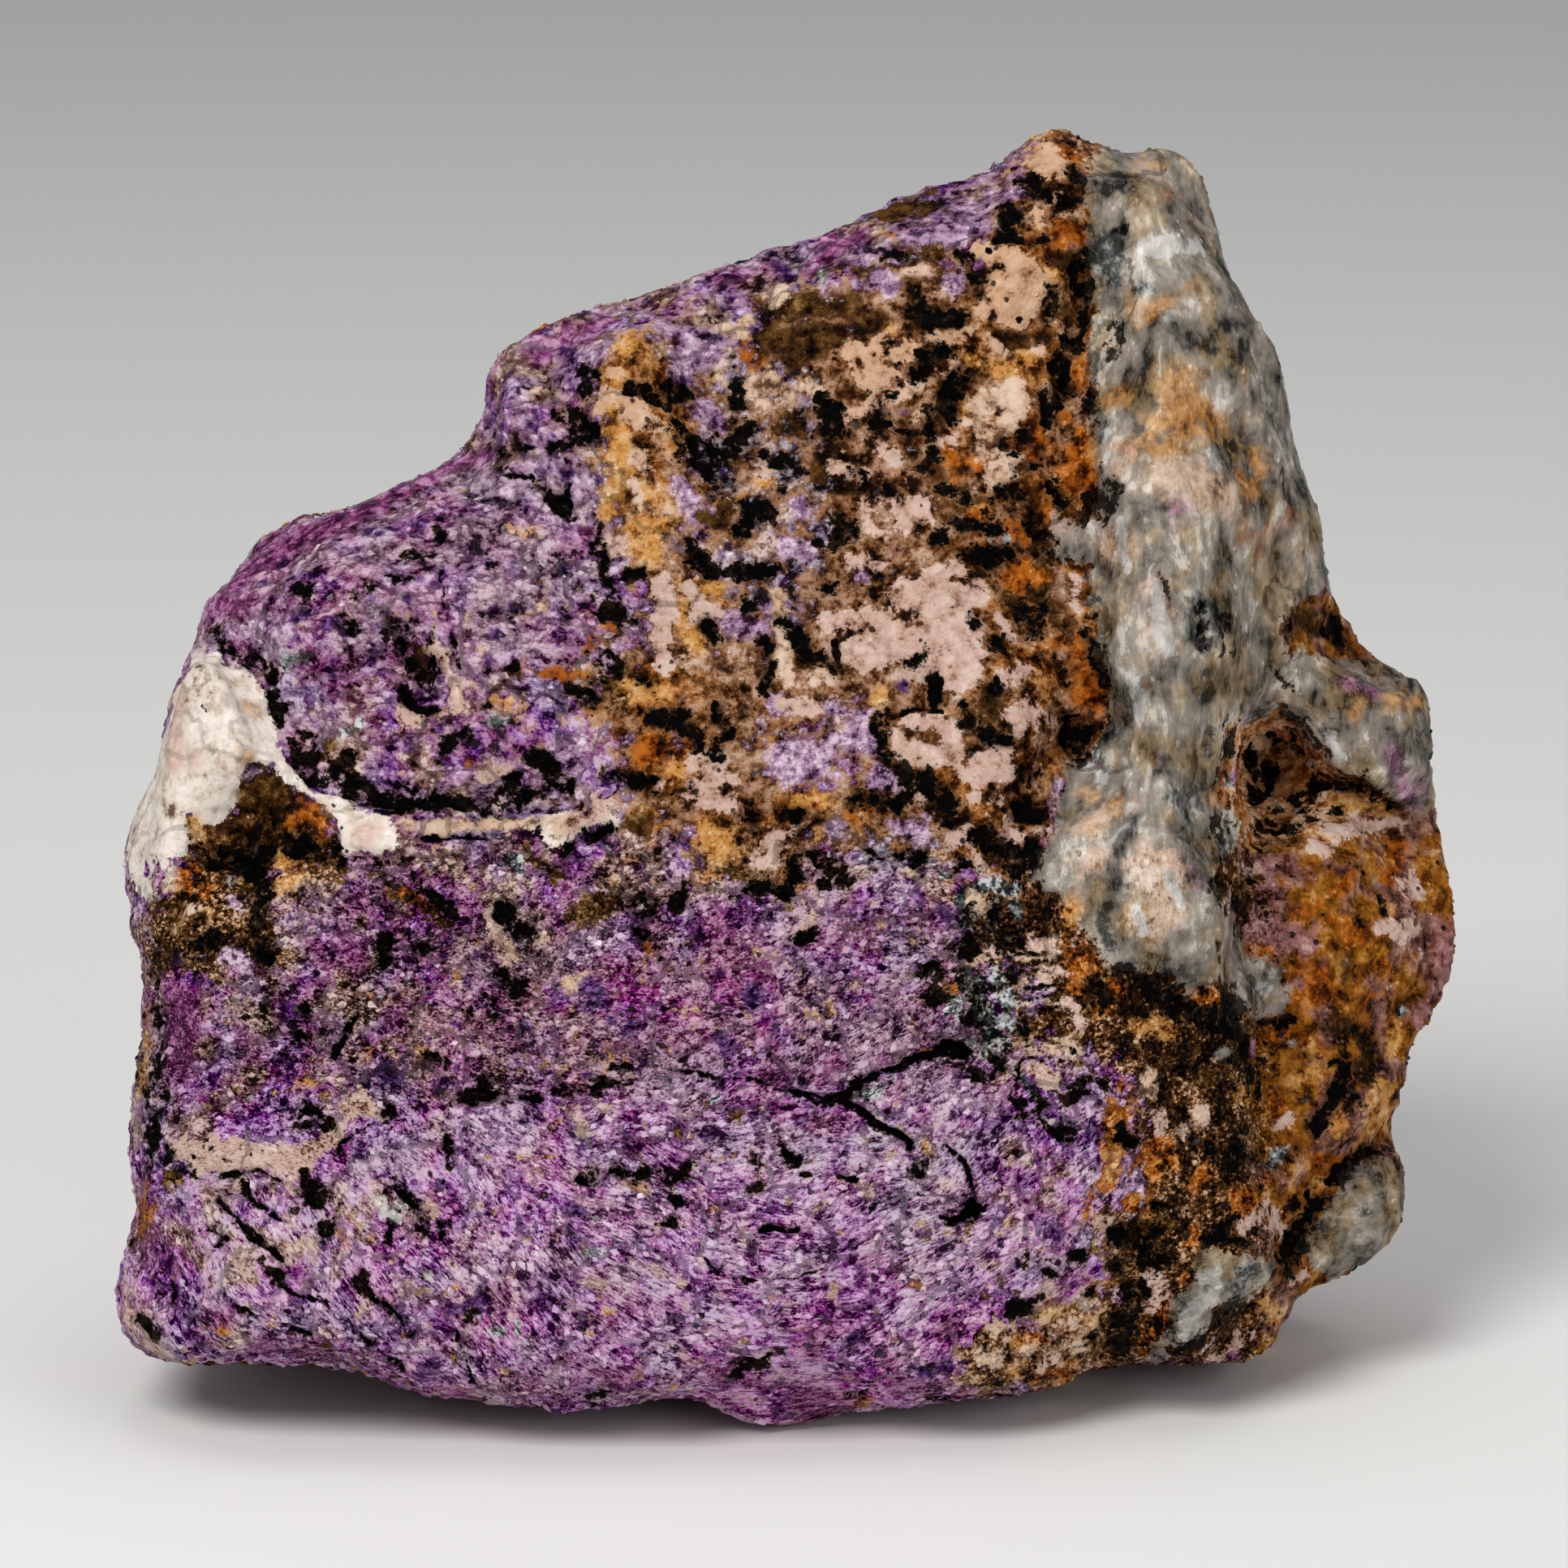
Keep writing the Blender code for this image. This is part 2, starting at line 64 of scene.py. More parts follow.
def pixelOf(points):        # where each point lies in the photograph, in its pixels
    across, up, out = faceFrame(points)
    nearer = photoView["eye"] / (photoView["eye"] - (out - photoView["plane"]))
    across = photoView["middleU"] + (across - photoView["middleU"]) * nearer
    up = photoView["middleV"] + (up - photoView["middleV"]) * nearer
    return photoView["zeroX"] + across / photoView["pixel"], photoView["zeroY"] - up / photoView["pixel"], out


# Places read from the photograph: x, y and half width in its pixels, one stroke or blob to a bracket
# Black marks are black mineral in pits and seams, and also painted shadow: in the gaps under and beside the
# beak at the right and in the groove along the quartz band's left side
blackAndShadowMarks = [
    (1512,898,7, 1518,920,9, 1514,940,6), (1608,893,5, 1622,912,8, 1634,930,7), (1622,958,6, 1648,960,8,
    1674,966,7, 1700,980,5), (1540,930,5, 1552,944,6), (1500,1085,7, 1510,1105,8, 1520,1118,5),
    (1495,1010,5, 1515,1020,6), (1585,985,5, 1600,992,5), (475,1372,4, 535,1360,4), (660,1350,4, 700,1347,3,
    765,1334,3), (376,1466,9, 398,1490,10, 404,1522,8), (620,560,3), (492,790,9, 503,812,11, 522,848,11),
    (515,862,10), (1480,745,3, 1484,792,3), (1507,762,3, 1510,800,3), (1573,906,8, 1575,924,9),
    (1537,948,6), (1553,963,8), (1515,988,5, 1530,982,7), (1560,1003,7, 1561,1024,8), (1600,1018,6),
    (1613,1008,6), (1506,950,5), (1648,1001,4), (1555,932,5, 1566,942,6), (1370,1522,7, 1386,1516,5),
    (1262,1555,7, 1280,1557,9, 1291,1566,4), (1330,1550,7, 1318,1562,5), (1371,1562,9), (1391,1580,11,
    1398,1602,12, 1392,1622,10, 1376,1628,8), (1243,1614,7, 1260,1606,8, 1272,1600,5), (1362,1636,8,
    1382,1642,8), (1300,1655,3, 1311,1651,3), (1345,1593,4), (1275,1672,5), (1345,1648,5), (1410,1530,9),
    (1440,1560,8), (1425,1515,7), (1232,1710,5), (1190,1128,6, 1192,1148,6), (1225,1112,5, 1222,1140,5),
    (1240,1160,9, 1256,1156,9), (1150,1204,8, 1172,1199,6, 1200,1197,3), (1246,1202,8), (1204,1232,10,
    1214,1236,8), (1207,1262,6, 1210,1277,5), (1258,1252,4, 1262,1270,4), (1234,1301,5, 1224,1308,5),
    (1168,1290,11, 1186,1296,9), (1205,1326,8, 1194,1320,5), (1251,1356,7, 1266,1367,6), (1312,1370,7,
    1322,1350,5), (1325,1395,7), (1350,1211,8), (1030,505,8, 1028,530,10, 1044,536,7), (1128,531,6,
    1110,535,5), (1076,596,6, 1060,601,5), (1056,580,5), (1168,606,9, 1190,604,8), (1140,570,7),
    (1100,606,6), (1126,555,5), (982,588,7), (950,555,5), (500,690,3, 520,686,3, 536,676,3, 545,655,5),
    (484,712,6, 500,712,5), (488,778,7, 497,795,6, 500,812,4), (505,778,4, 525,785,5), (500,848,6,
    510,870,9, 530,875,6), (530,815,6, 536,830,6, 520,842,5), (595,835,6, 612,829,5, 635,822,5),
    (600,868,5), (580,905,6), (545,925,6, 555,915,5), (372,735,8, 385,722,6), (435,735,8), (420,755,6,
    432,770,8), (460,716,9), (270,785,3, 282,803,6, 300,812,7, 325,815,8, 338,835,8, 335,855,8, 348,872,12),
    (350,905,3, 345,893,5, 350,880,9), (365,905,10, 378,925,15, 376,945,10, 395,960,12, 415,950,14,
    430,932,8), (415,950,12, 440,975,10, 470,985,14, 500,985,14, 520,972,8), (500,985,10, 560,985,11,
    600,990,13, 640,986,12, 665,976,6), (775,480,9, 795,480,8, 812,490,10, 838,489,10, 820,470,6),
    (690,512,10, 715,530,14, 730,536,8), (640,553,3, 690,552,4, 730,546,6), (725,455,8, 725,475,6),
    (755,520,6), (835,525,8, 850,555,14, 880,570,20, 890,590,14), (880,560,14, 910,545,12, 925,530,10),
    (870,535,5, 890,546,4), (905,440,4, 905,480,5, 910,505,9), (945,560,6, 972,572,12, 965,600,6),
    (925,620,12, 945,635,12, 915,652,8), (1010,495,8, 1020,530,10), (1030,640,14, 1020,665,14, 1045,652,12),
    (850,665,6, 855,690,10, 890,702,10, 920,700,12, 950,700,9), (742,700,6, 752,735,9, 745,752,11,
    762,750,7), (770,705,8, 787,712,7), (735,735,4, 752,760,4, 790,772,3), (745,808,11, 762,822,10,
    742,840,10), (790,830,7, 800,842,7), (882,780,9, 868,770,6), (925,742,7, 938,740,7), (960,762,7,
    985,770,4), (985,785,9, 990,805,8, 1020,820,4, 1038,826,4), (941,790,3, 945,820,3, 944,850,4),
    (1005,740,6), (1018,722,5), (690,622,9, 668,612,5, 702,640,5), (735,650,5, 732,672,5, 745,690,5),
    (1325,215,10, 1330,235,12, 1320,246,12, 1304,256,8, 1297,272,5), (1270,226,12, 1286,235,8),
    (1245,270,13, 1240,281,11, 1256,264,5), (1232,290,4, 1262,300,5, 1288,296,6), (1335,312,8, 1330,332,12,
    1328,348,10, 1330,368,10, 1335,388,10, 1337,403,8, 1328,418,10, 1313,432,11, 1305,452,10, 1310,475,14,
    1305,492,7), (1286,376,4, 1299,360,4, 1300,376,5, 1290,391,4), (1122,380,8, 1132,395,13, 1160,390,14,
    1182,395,9), (1132,372,9, 1122,352,7), (1145,436,10, 1165,436,7, 1142,452,8, 1130,461,7), (1190,465,9,
    1180,475,15, 1168,492,16, 1160,510,15, 1150,530,11), (1150,565,9, 1156,590,9, 1132,572,7), (1275,480,5,
    1288,492,8, 1290,518,6), (1265,533,7, 1255,546,9), (1258,576,6, 1275,576,5), (1090,486,4, 1076,519,9,
    1090,525,7), (1112,531,8), (1100,315,9, 1117,318,7), (1205,338,8, 1211,346,4), (1209,361,5),
    (1182,311,3, 1206,326,4), (1342,500,9, 1346,480,5), (1160,600,8, 1182,604,6), (1150,665,6, 1170,670,4),
    (1172,640,6, 1192,650,7, 1228,650,4), (1190,680,6, 1202,686,12, 1222,690,13, 1245,680,7), (1235,609,9,
    1248,604,9, 1264,612,6), (1266,632,6, 1276,652,8, 1284,672,7, 1288,684,4), (1295,600,7, 1310,617,8,
    1322,636,6, 1336,641,5), (1350,616,15, 1370,606,13, 1355,636,10), (1260,752,12, 1275,772,11,
    1286,742,9), (1303,820,7, 1313,836,7), (1340,780,4, 1346,792,6, 1355,812,8, 1356,832,8, 1361,848,5),
    (1310,881,5, 1330,892,10, 1322,912,16, 1330,930,12, 1345,902,9), (1266,952,10), (1210,905,7, 1222,908,9,
    1241,915,7), (1191,871,6, 1196,892,7), (1225,790,6, 1236,791,7, 1241,806,5), (1150,831,4, 1150,846,8,
    1155,862,5), (1113,816,3, 1128,812,3, 1145,803,2), (1231,850,5, 1215,851,3), (1202,756,5, 1206,772,6),
    (1076,886,3, 1080,906,6, 1086,925,8, 1100,937,8, 1112,951,10, 1140,960,10, 1152,968,10, 1156,986,9),
    (1100,884,8, 1090,895,4), (1128,903,3), (1376,404,7, 1372,422,7, 1368,436,6), (1380,276,6, 1394,300,4),
    (1575,830,5, 1580,841,4, 1588,851,3), (1580,870,5, 1590,886,7, 1602,906,8, 1613,921,7, 1621,932,4),
    (1611,982,9, 1621,966,9, 1640,960,11, 1656,964,9, 1682,971,5, 1702,979,4, 1716,991,4), (1520,905,6,
    1520,930,8, 1541,942,6), (1530,990,9, 1545,980,13, 1560,970,9, 1570,950,7), (1580,1010,8, 1557,1021,11),
    (1496,1012,6, 1498,1032,6), (1590,780,7, 1594,757,5), (1640,775,12, 1650,791,7, 1646,757,5),
    (300,1060,16, 320,1080,13, 325,1100,9, 316,1140,9, 322,1162,9, 326,1182,7), (268,1060,13, 300,1060,12,
    332,1050,10), (411,1036,8, 410,1051,7, 390,1061,5), (380,1045,7, 360,1050,7), (352,1036,7, 366,1041,7,
    380,1031,7), (240,1170,9, 260,1160,11, 281,1154,7), (248,1062,6, 240,1050,4), (420,1062,5, 450,1061,5,
    466,1070,6), (510,1080,4, 521,1095,5, 541,1110,7, 556,1125,7, 566,1131,3), (482,1155,7, 470,1166,6),
    (500,1150,5, 521,1165,6, 541,1165,5), (471,1181,7, 466,1191,4), (195,1210,4, 192,1250,5, 197,1290,4,
    190,1330,7, 192,1360,7, 188,1400,7, 184,1440,5), (330,1250,6, 331,1266,7, 346,1276,4), (366,1276,5,
    371,1291,4), (375,1245,5), (580,1240,10, 592,1236,6, 602,1248,8), (720,1031,9, 736,1026,8, 752,1021,6),
    (705,1041,5, 695,1048,3), (800,885,8, 825,885,9, 841,879,7), (841,894,5, 856,905,8, 861,916,5),
    (885,886,7, 885,870,4), (896,906,7, 881,921,4, 886,936,3), (660,930,9, 671,947,10, 682,946,12,
    690,961,13, 700,976,8), (640,955,5, 621,970,7), (760,955,9, 780,965,8, 801,960,7), (800,981,3,
    830,975,3, 852,970,2), (970,1000,9, 986,1005,6), (925,1006,7, 931,1016,5), (985,1060,9, 976,1071,8,
    996,1075,7), (1010,1060,11, 1031,1066,14, 1021,1086,10, 1041,1080,8), (1070,1050,7, 1091,1050,7,
    1111,1056,8, 1131,1050,8), (901,1096,5, 930,1096,7, 951,1096,4, 976,1101,6), (830,1116,12, 836,1104,8,
    841,1090,5), (770,1110,9, 791,1111,11, 811,1121,7), (785,1146,5, 791,1156,4), (616,1110,4, 621,1121,6,
    631,1141,8, 641,1151,9, 652,1157,5), (616,1195,6, 621,1206,12, 637,1211,13, 630,1226,8), (990,1160,7,
    1001,1150,7), (730,860,9, 701,851,8, 690,861,5), (600,850,7, 620,840,5), (1170,1010,11, 1160,1000,7),
    (1211,1031,10, 1216,1021,7, 1231,1056,13, 1251,1061,16, 1270,1061,14, 1276,1046,11), (1245,991,6,
    1261,1001,13, 1281,1006,9), (1185,1065,8, 1180,1055,4), (1060,985,7, 1081,986,9, 1101,990,8,
    1121,981,4), (1150,990,7, 1161,976,9, 1171,991,7), (1150,1195,8, 1141,1198,8, 1146,1216,9, 1156,1231,5),
    (1172,1165,8, 1182,1176,11, 1201,1166,9, 1186,1150,4), (1255,1151,11, 1240,1161,11), (1211,1226,9,
    1201,1241,9, 1191,1260,4), (1350,1215,9, 1362,1232,8), (1400,1215,12, 1430,1216,16, 1446,1236,14,
    1471,1251,13, 1491,1256,15, 1511,1261,12, 1531,1276,9), (1390,1200,8, 1376,1196,5), (1490,1091,7,
    1502,1086,7, 1511,1101,8, 1516,1111,9), (1540,1262,4, 1561,1262,4, 1586,1257,5), (1530,1240,8,
    1521,1251,9, 1511,1231,9, 1511,1216,5), (1536,1300,7, 1546,1321,8, 1546,1346,7), (1531,1390,6,
    1524,1405,6, 1521,1431,8, 1516,1451,5), (1656,1305,6, 1661,1321,9, 1646,1341,10, 1641,1361,9,
    1626,1376,9, 1616,1391,8, 1621,1401,4), (1666,1341,6, 1664,1361,7), (1700,1418,5, 1690,1416,7,
    1670,1426,9, 1656,1441,9, 1646,1456,8), (1636,1476,6, 1621,1481,9, 1611,1501,11, 1601,1516,9,
    1591,1531,8, 1581,1546,6), (1601,1541,7, 1591,1561,4), (705,1447,3, 722,1450,8, 736,1446,7, 760,1443,6,
    776,1448,4, 792,1446,4, 812,1451,9, 826,1456,10, 841,1441,7, 849,1437,3), (826,1468,7, 831,1476,3),
    (845,1480,3, 836,1491,6, 826,1500,5, 831,1511,4), (968,1424,7, 976,1430,6, 986,1427,3), (931,1426,5,
    926,1433,3), (931,1460,4, 939,1463,3), (905,1688,7, 915,1683,9, 926,1680,7, 933,1682,3), (945,1675,3,
    956,1668,5, 966,1673,4), (1252,1355,5, 1262,1361,6, 1271,1376,6, 1286,1386,7, 1301,1396,7, 1312,1386,7,
    1326,1396,7), (1275,1356,7, 1291,1364,5), (1331,1330,4, 1326,1346,5, 1341,1346,4), (1345,1330,3,
    1361,1336,4), (1380,1400,5, 1396,1410,4), (1135,1430,4, 1130,1440,8, 1146,1443,7), (1200,1320,8,
    1211,1326,5), (1270,1558,5, 1281,1562,4, 1291,1551,3), (1241,1620,4, 1256,1618,6, 1266,1610,7),
    (1371,1661,8, 1386,1651,10, 1391,1636,11, 1381,1621,9), (1396,1536,6), (1410,1550,12, 1431,1551,11),
    (1421,1486,6, 1441,1490,6), (1480,1515,5, 1491,1531,7, 1501,1520,13, 1511,1505,9), (1515,1530,7,
    1531,1530,5), (1461,1665,8, 1481,1656,7, 1496,1637,6, 1506,1620,9, 1521,1610,7, 1541,1608,6),
    (1151,1720,4, 1171,1717,5, 1196,1720,4, 1231,1715,4), (1046,1715,4, 1061,1715,4, 1071,1710,3),
    (730,1725,4, 751,1712,4), (375,1450,4, 379,1470,7, 366,1490,5), (390,1460,7, 406,1466,8, 408,1481,8,
    399,1501,9, 406,1516,5, 410,1531,5), (441,1571,7, 451,1586,5, 456,1596,3), (475,1530,5, 481,1511,5),
    (478,1474,5, 480,1486,4), (495,1465,9, 504,1476,6, 508,1487,4), (520,1500,4, 525,1520,5, 535,1531,5,
    545,1516,4, 549,1500,3), (545,1354,4, 580,1353,5, 602,1352,7, 621,1350,5, 641,1352,3), (380,1365,6,
    389,1370,5), (370,1387,3, 395,1388,3, 406,1385,3), (551,1400,3, 552,1421,4, 550,1436,3), (576,1622,6),
    (605,1330,4, 600,1346,4), (680,1345,5, 696,1345,4), (205,1412,3, 215,1435,4, 226,1446,4), (196,1590,7,
    210,1592,6), (178,1625,3, 196,1645,3), (322,1555,6, 335,1568,7, 345,1580,6), (1438,1630,4, 1445,1645,4),
    (1055,1338,4, 1056,1330,4), (1205,1490,7, 1195,1490,7), (530,1302,3, 546,1311,4), (1585,1130,5),
    (1595,1075,4), (1540,1080,4), (1700,1100,4, 1702,1125,3),
]
crackLines = [
    (543,700,2, 546,745,2, 553,765,2, 558,800,3, 565,822,3), (755,1315,3, 790,1315,2, 815,1316,3,
    850,1320,3, 880,1327,2, 910,1328,2, 930,1332,3, 945,1340,3, 970,1344,3, 1000,1352,3, 1015,1357,4),
    (1015,1358,5, 1030,1354,8, 1045,1350,7, 1060,1336,6, 1075,1328,5, 1092,1322,5, 1110,1317,6, 1125,1308,6,
    1142,1304,5, 1152,1297,6, 1166,1291,7, 1186,1290,8, 1196,1295,5), (1015,1359,4, 1035,1361,5,
    1050,1364,5, 1066,1376,5, 1081,1388,4, 1100,1395,5, 1116,1405,6, 1121,1413,6), (1165,1412,2,
    1175,1422,3, 1185,1432,4, 1193,1450,5, 1195,1463,5, 1200,1477,6, 1195,1492,7, 1184,1501,6, 1172,1505,4,
    1160,1500,3), (980,1362,2, 968,1363,4, 958,1370,4, 946,1381,3, 951,1390,3, 958,1400,3, 965,1413,4,
    968,1424,5), (870,1550,2, 878,1563,3, 890,1572,2, 910,1577,2, 935,1578,2, 960,1576,2, 985,1573,2,
    1000,1567,2), (980,1447,2, 1010,1445,2, 1040,1450,2, 1055,1452,4), (1075,1490,3, 1086,1480,2,
    1100,1470,2, 1111,1466,2), (1130,1470,3, 1146,1475,2), (245,1460,4, 262,1475,4, 280,1490,5, 295,1505,6,
    310,1520,5, 325,1532,4, 340,1548,4, 348,1555,4), (345,1580,5, 357,1592,4, 372,1600,3, 395,1603,2,
    412,1608,3), (305,1455,3, 303,1475,4, 318,1485,4, 330,1492,3, 345,1505,2), (250,1510,2, 268,1520,2,
    281,1526,3, 265,1540,3, 250,1547,2), (350,1635,3, 370,1640,2, 382,1645,4), (440,1250,4, 430,1265,3,
    420,1285,4, 412,1300,5, 412,1288,6), (1030,788,2, 1050,780,2, 1080,777,1), (1030,790,3, 1028,805,3,
    1035,820,4), (460,1385,2, 485,1382,2, 500,1378,3), (640,1352,2, 665,1356,3), (715,1347,2, 745,1348,2,
    750,1340,2), (412,1425,3, 420,1412,3, 428,1402,3, 445,1392,2, 462,1380,2), (222,1435,2, 232,1446,2,
    245,1454,2, 262,1453,2, 290,1446,3, 315,1441,3, 330,1448,3, 345,1453,3, 350,1470,2, 357,1480,3),
    (1255,1300,3, 1256,1330,3, 1252,1352,3), (1265,1289,2, 1281,1283,2, 1300,1285,2, 1320,1292,2,
    1331,1302,2), (1260,1302,2, 1290,1300,2, 1315,1308,2), (935,1515,4, 955,1512,4, 970,1515,5, 986,1515,3),
    (980,1541,4, 988,1535,3), (1015,1540,4, 1036,1545,3), (500,1033,3, 560,1032,3, 620,1033,2), (1428,705,2,
    1440,730,3, 1447,745,2), (1500,1150,2, 1502,1185,2), (1100,884,4, 1130,872,3, 1160,876,2), (1098,1000,2,
    1105,1003,2), (545,1455,3, 560,1475,3, 575,1490,2), (760,1395,2, 752,1420,2), (600,700,1, 602,640,1),
    (700,600,2, 702,640,2), (620,585,2, 655,590,3), (650,790,2, 628,760,2), (1250,1175,3, 1290,1178,2),
    (1245,1190,3, 1280,1192,2), (1265,1218,2, 1300,1212,2), (1262,1232,2, 1300,1226,2), (1262,1248,2,
    1300,1243,2), (280,1600,1, 320,1625,1), (560,1640,2, 575,1680,2, 585,1705,2), (430,1640,2, 470,1665,2,
    500,1690,2), (460,1600,3, 490,1620,3, 510,1650,2), (1060,1560,2, 1075,1545,2, 1110,1535,2), (690,1630,2,
    700,1605,2),
]
brownMarks = [
    (970,385,14, 1010,375,14, 1050,372,12), (935,430,10), (1000,410,12, 1035,415,10), (1670,1161,2,
    1665,1176,2, 1660,1196,2, 1655,1216,2), (1552,938,8, 1566,948,8), (1530,965,8), (1600,1031,7,
    1572,1031,6), (1360,1661,8, 1376,1665,7, 1345,1671,6), (1390,1560,9), (1370,1650,9), (1400,1500,9,
    1420,1520,9), (1440,1500,9), (1400,1240,12, 1380,1245,9), (1035,556,12, 1048,562,8), (985,522,11),
    (940,392,12, 970,402,13), (1060,402,9), (1185,625,9), (1262,735,10), (510,800,12, 516,822,11),
    (625,825,8, 640,830,8), (385,935,12), (400,915,10), (960,420,18, 1000,430,18, 975,445,12), (940,410,14,
    1020,410,12), (940,385,12, 980,378,14, 1040,380,14, 1085,398,12, 1060,405,14), (975,515,14, 992,530,10,
    960,530,8), (1020,560,15, 1010,598,10, 1050,600,10), (890,640,12, 900,618,9), (920,560,10), (870,640,7),
    (1092,264,12, 1132,252,11, 1162,246,8), (1060,332,9), (1140,310,9, 1156,316,8), (1285,300,9,
    1302,311,8), (1315,312,10, 1315,336,9), (1310,384,11, 1321,400,9), (1225,416,9, 1250,421,13,
    1282,416,13), (1181,620,12, 1212,626,12, 1200,650,9), (1252,700,14, 1282,711,16), (1250,730,14,
    1282,731,14, 1300,760,10, 1312,772,9), (1220,861,11, 1216,881,11, 1231,871,7), (795,460,5),
    (900,1066,13, 886,1071,7, 921,1076,9), (790,1021,10, 776,1015,8, 800,1006,7), (690,1136,9, 702,1131,9,
    731,1121,13, 761,1106,13), (665,1066,11, 650,1060,7, 686,1081,9), (310,985,16, 331,976,14),
    (350,1001,8), (220,1120,12, 201,1111,8), (250,1131,9, 236,1146,7), (330,1116,8, 331,1141,9, 326,1191,7),
    (466,1081,12, 482,1091,11, 501,1101,9, 531,1126,7, 551,1141,5), (210,1450,9, 221,1456,7), (1116,905,8,
    1128,896,7), (1190,905,5, 1192,925,5), (1131,896,4), (1170,1215,11, 1166,1226,8), (1330,1226,11,
    1346,1241,9, 1311,1221,5), (1280,1116,12, 1300,1106,11), (1265,1116,8), (1600,765,10, 1618,772,16,
    1611,755,10), (1640,750,9, 1655,790,9, 1672,806,7), (1530,1035,9, 1560,1046,9), (1680,1311,13,
    1691,1331,11, 1681,1281,11), (1640,1270,8, 1652,1266,13, 1671,1271,9), (1395,1531,11, 1421,1521,19,
    1431,1501,10), (1350,1671,9), (1240,1691,7, 1271,1701,7), (1235,1666,5, 1246,1676,5, 1236,1686,4),
    (1516,1641,9), (1586,1566,9), (1511,1451,7, 1516,1471,6), (905,1373,5, 892,1390,4), (840,1400,9),
    (1530,1625,6), (770,820,6), (1050,990,8), (560,890,5), (1400,555,3, 1440,553,3, 1461,556,5, 1481,559,4),
    (1480,460,5, 1490,463,3), (1478,482,4), (1470,358,3), (1477,366,3), (1495,378,3), (1385,715,6),
    (1405,720,4, 1404,736,3), (1416,910,5, 1420,930,3), (1375,880,5, 1400,885,5), (1410,845,3, 1420,851,3),
    (405,1661,7), (1320,1300,5, 1350,1320,8), (1360,1500,10, 1350,1540,8), (1440,1320,10, 1460,1300,12),
    (1340,1560,6), (1280,1670,6), (1190,1010,6), (1480,1330,12, 1500,1310,10), (1460,1430,8), (1480,1490,8),
]
rustMarks = [
    (1205,640,11), (580,940,6), (1370,1370,16, 1375,1420,14, 1360,1460,10), (1165,540,10, 1180,590,9),
    (1300,270,9, 1306,300,7), (1410,1490,9), (1390,1480,8), (1345,1500,8), (1541,905,6), (1590,904,4,
    1599,913,4), (1605,926,8, 1616,933,5), (1596,944,8), (1604,956,8, 1605,971,5), (1580,966,7),
    (1585,1003,9), (1541,1025,7, 1543,1042,7), (1530,900,5), (1560,920,5), (1265,1648,6, 1285,1650,5),
    (1316,1676,8), (1298,1691,8, 1322,1690,6), (1310,1701,8, 1328,1707,6), (1345,1621,6), (1320,1646,4),
    (1430,1600,4, 1427,1640,5, 1410,1660,4), (1470,1520,8, 1481,1530,6), (1460,1572,6), (1195,514,7),
    (1176,1214,7), (1330,1220,10), (1360,1240,9), (1250,690,8), (1200,640,8), (1262,715,8), (1290,600,7),
    (650,826,7, 690,826,5, 716,831,4), (735,790,9), (750,770,7), (692,840,5), (920,430,8, 926,446,7),
    (1310,271,8, 1321,281,11, 1326,296,9, 1336,291,7), (1291,301,8), (1266,296,5), (1335,440,9, 1331,470,9),
    (1334,420,3), (1275,520,6, 1276,541,9, 1270,561,9), (1310,511,7, 1316,521,5), (1330,531,8, 1331,551,12,
    1321,571,16, 1335,590,11, 1313,592,11, 1331,606,14, 1341,621,7), (1287,626,7, 1286,641,7), (1251,651,10,
    1262,666,8), (1240,712,9, 1262,700,9, 1280,706,9), (1331,791,12, 1321,801,9, 1341,821,13, 1331,841,12,
    1346,851,13, 1346,871,11, 1331,861,10), (1305,791,7), (1331,701,4, 1336,731,4), (1315,185,11,
    1331,195,8), (1180,571,11, 1201,576,11), (795,921,14, 811,926,13, 790,936,8), (381,1001,13, 396,1011,11,
    361,1011,8), (400,1031,7), (370,986,7), (226,1076,8, 241,1071,7, 236,1091,8), (251,1101,6),
    (501,1096,5), (516,1111,8), (800,1166,8), (1000,986,9, 1016,996,6), (1445,508,16, 1471,510,15,
    1492,516,13), (1371,546,4, 1396,551,6, 1406,566,5), (1530,590,3, 1536,606,4, 1531,621,4), (1540,660,6,
    1551,676,9, 1560,650,5), (1580,640,5, 1591,631,4), (1640,735,5, 1660,775,5, 1678,800,5), (1560,890,7,
    1541,901,7), (1590,930,9, 1606,921,7), (1551,931,7), (1601,951,9, 1596,976,8), (1576,1012,6),
    (1661,1141,15, 1681,1151,12, 1641,1131,9), (1600,1121,11, 1621,1111,7), (1716,1061,16, 1721,1041,12,
    1711,1081,10), (1540,1171,9, 1560,1176,9), (1651,1091,13, 1661,1076,8), (1681,1236,11, 1691,1221,7),
    (1621,1201,17, 1641,1221,12, 1601,1231,11), (1561,1276,12, 1581,1271,11, 1546,1281,8), (1571,1286,7),
    (1575,1371,12, 1571,1351,9), (1530,1480,13, 1541,1471,11, 1526,1501,9, 1551,1481,7), (1561,1451,7),
    (1416,1421,14, 1431,1411,11, 1401,1431,9, 1441,1431,9), (1426,1446,7), (1411,1471,8, 1406,1486,7),
    (1471,1461,8, 1486,1451,8), (1466,1526,9, 1471,1516,5), (1321,1171,12, 1336,1186,15, 1321,1196,10,
    1346,1193,8), (1371,1211,8, 1381,1226,6), (1471,1231,8, 1491,1226,7), (1061,1725,5, 1071,1720,4),
    (1311,1676,6, 1301,1691,6, 1321,1701,7), (1285,1700,5), (1361,1581,6, 1371,1576,4), (1434,1611,3,
    1429,1626,5, 1419,1641,5, 1409,1656,4), (183,1500,6, 178,1462,5, 173,1526,7), (980,1757,4),
    (1051,1006,6), (610,1660,4), (1385,1340,6, 1400,1345,6), (1350,1480,5), (1640,1432,10, 1620,1430,12),
    (1601,1195,9), (1700,1190,10), (1625,1290,9, 1601,1281,9), (1245,1131,9, 1256,1139,8), (1436,226,4,
    1438,236,5), (275,1640,6), (1128,1580,4),
]
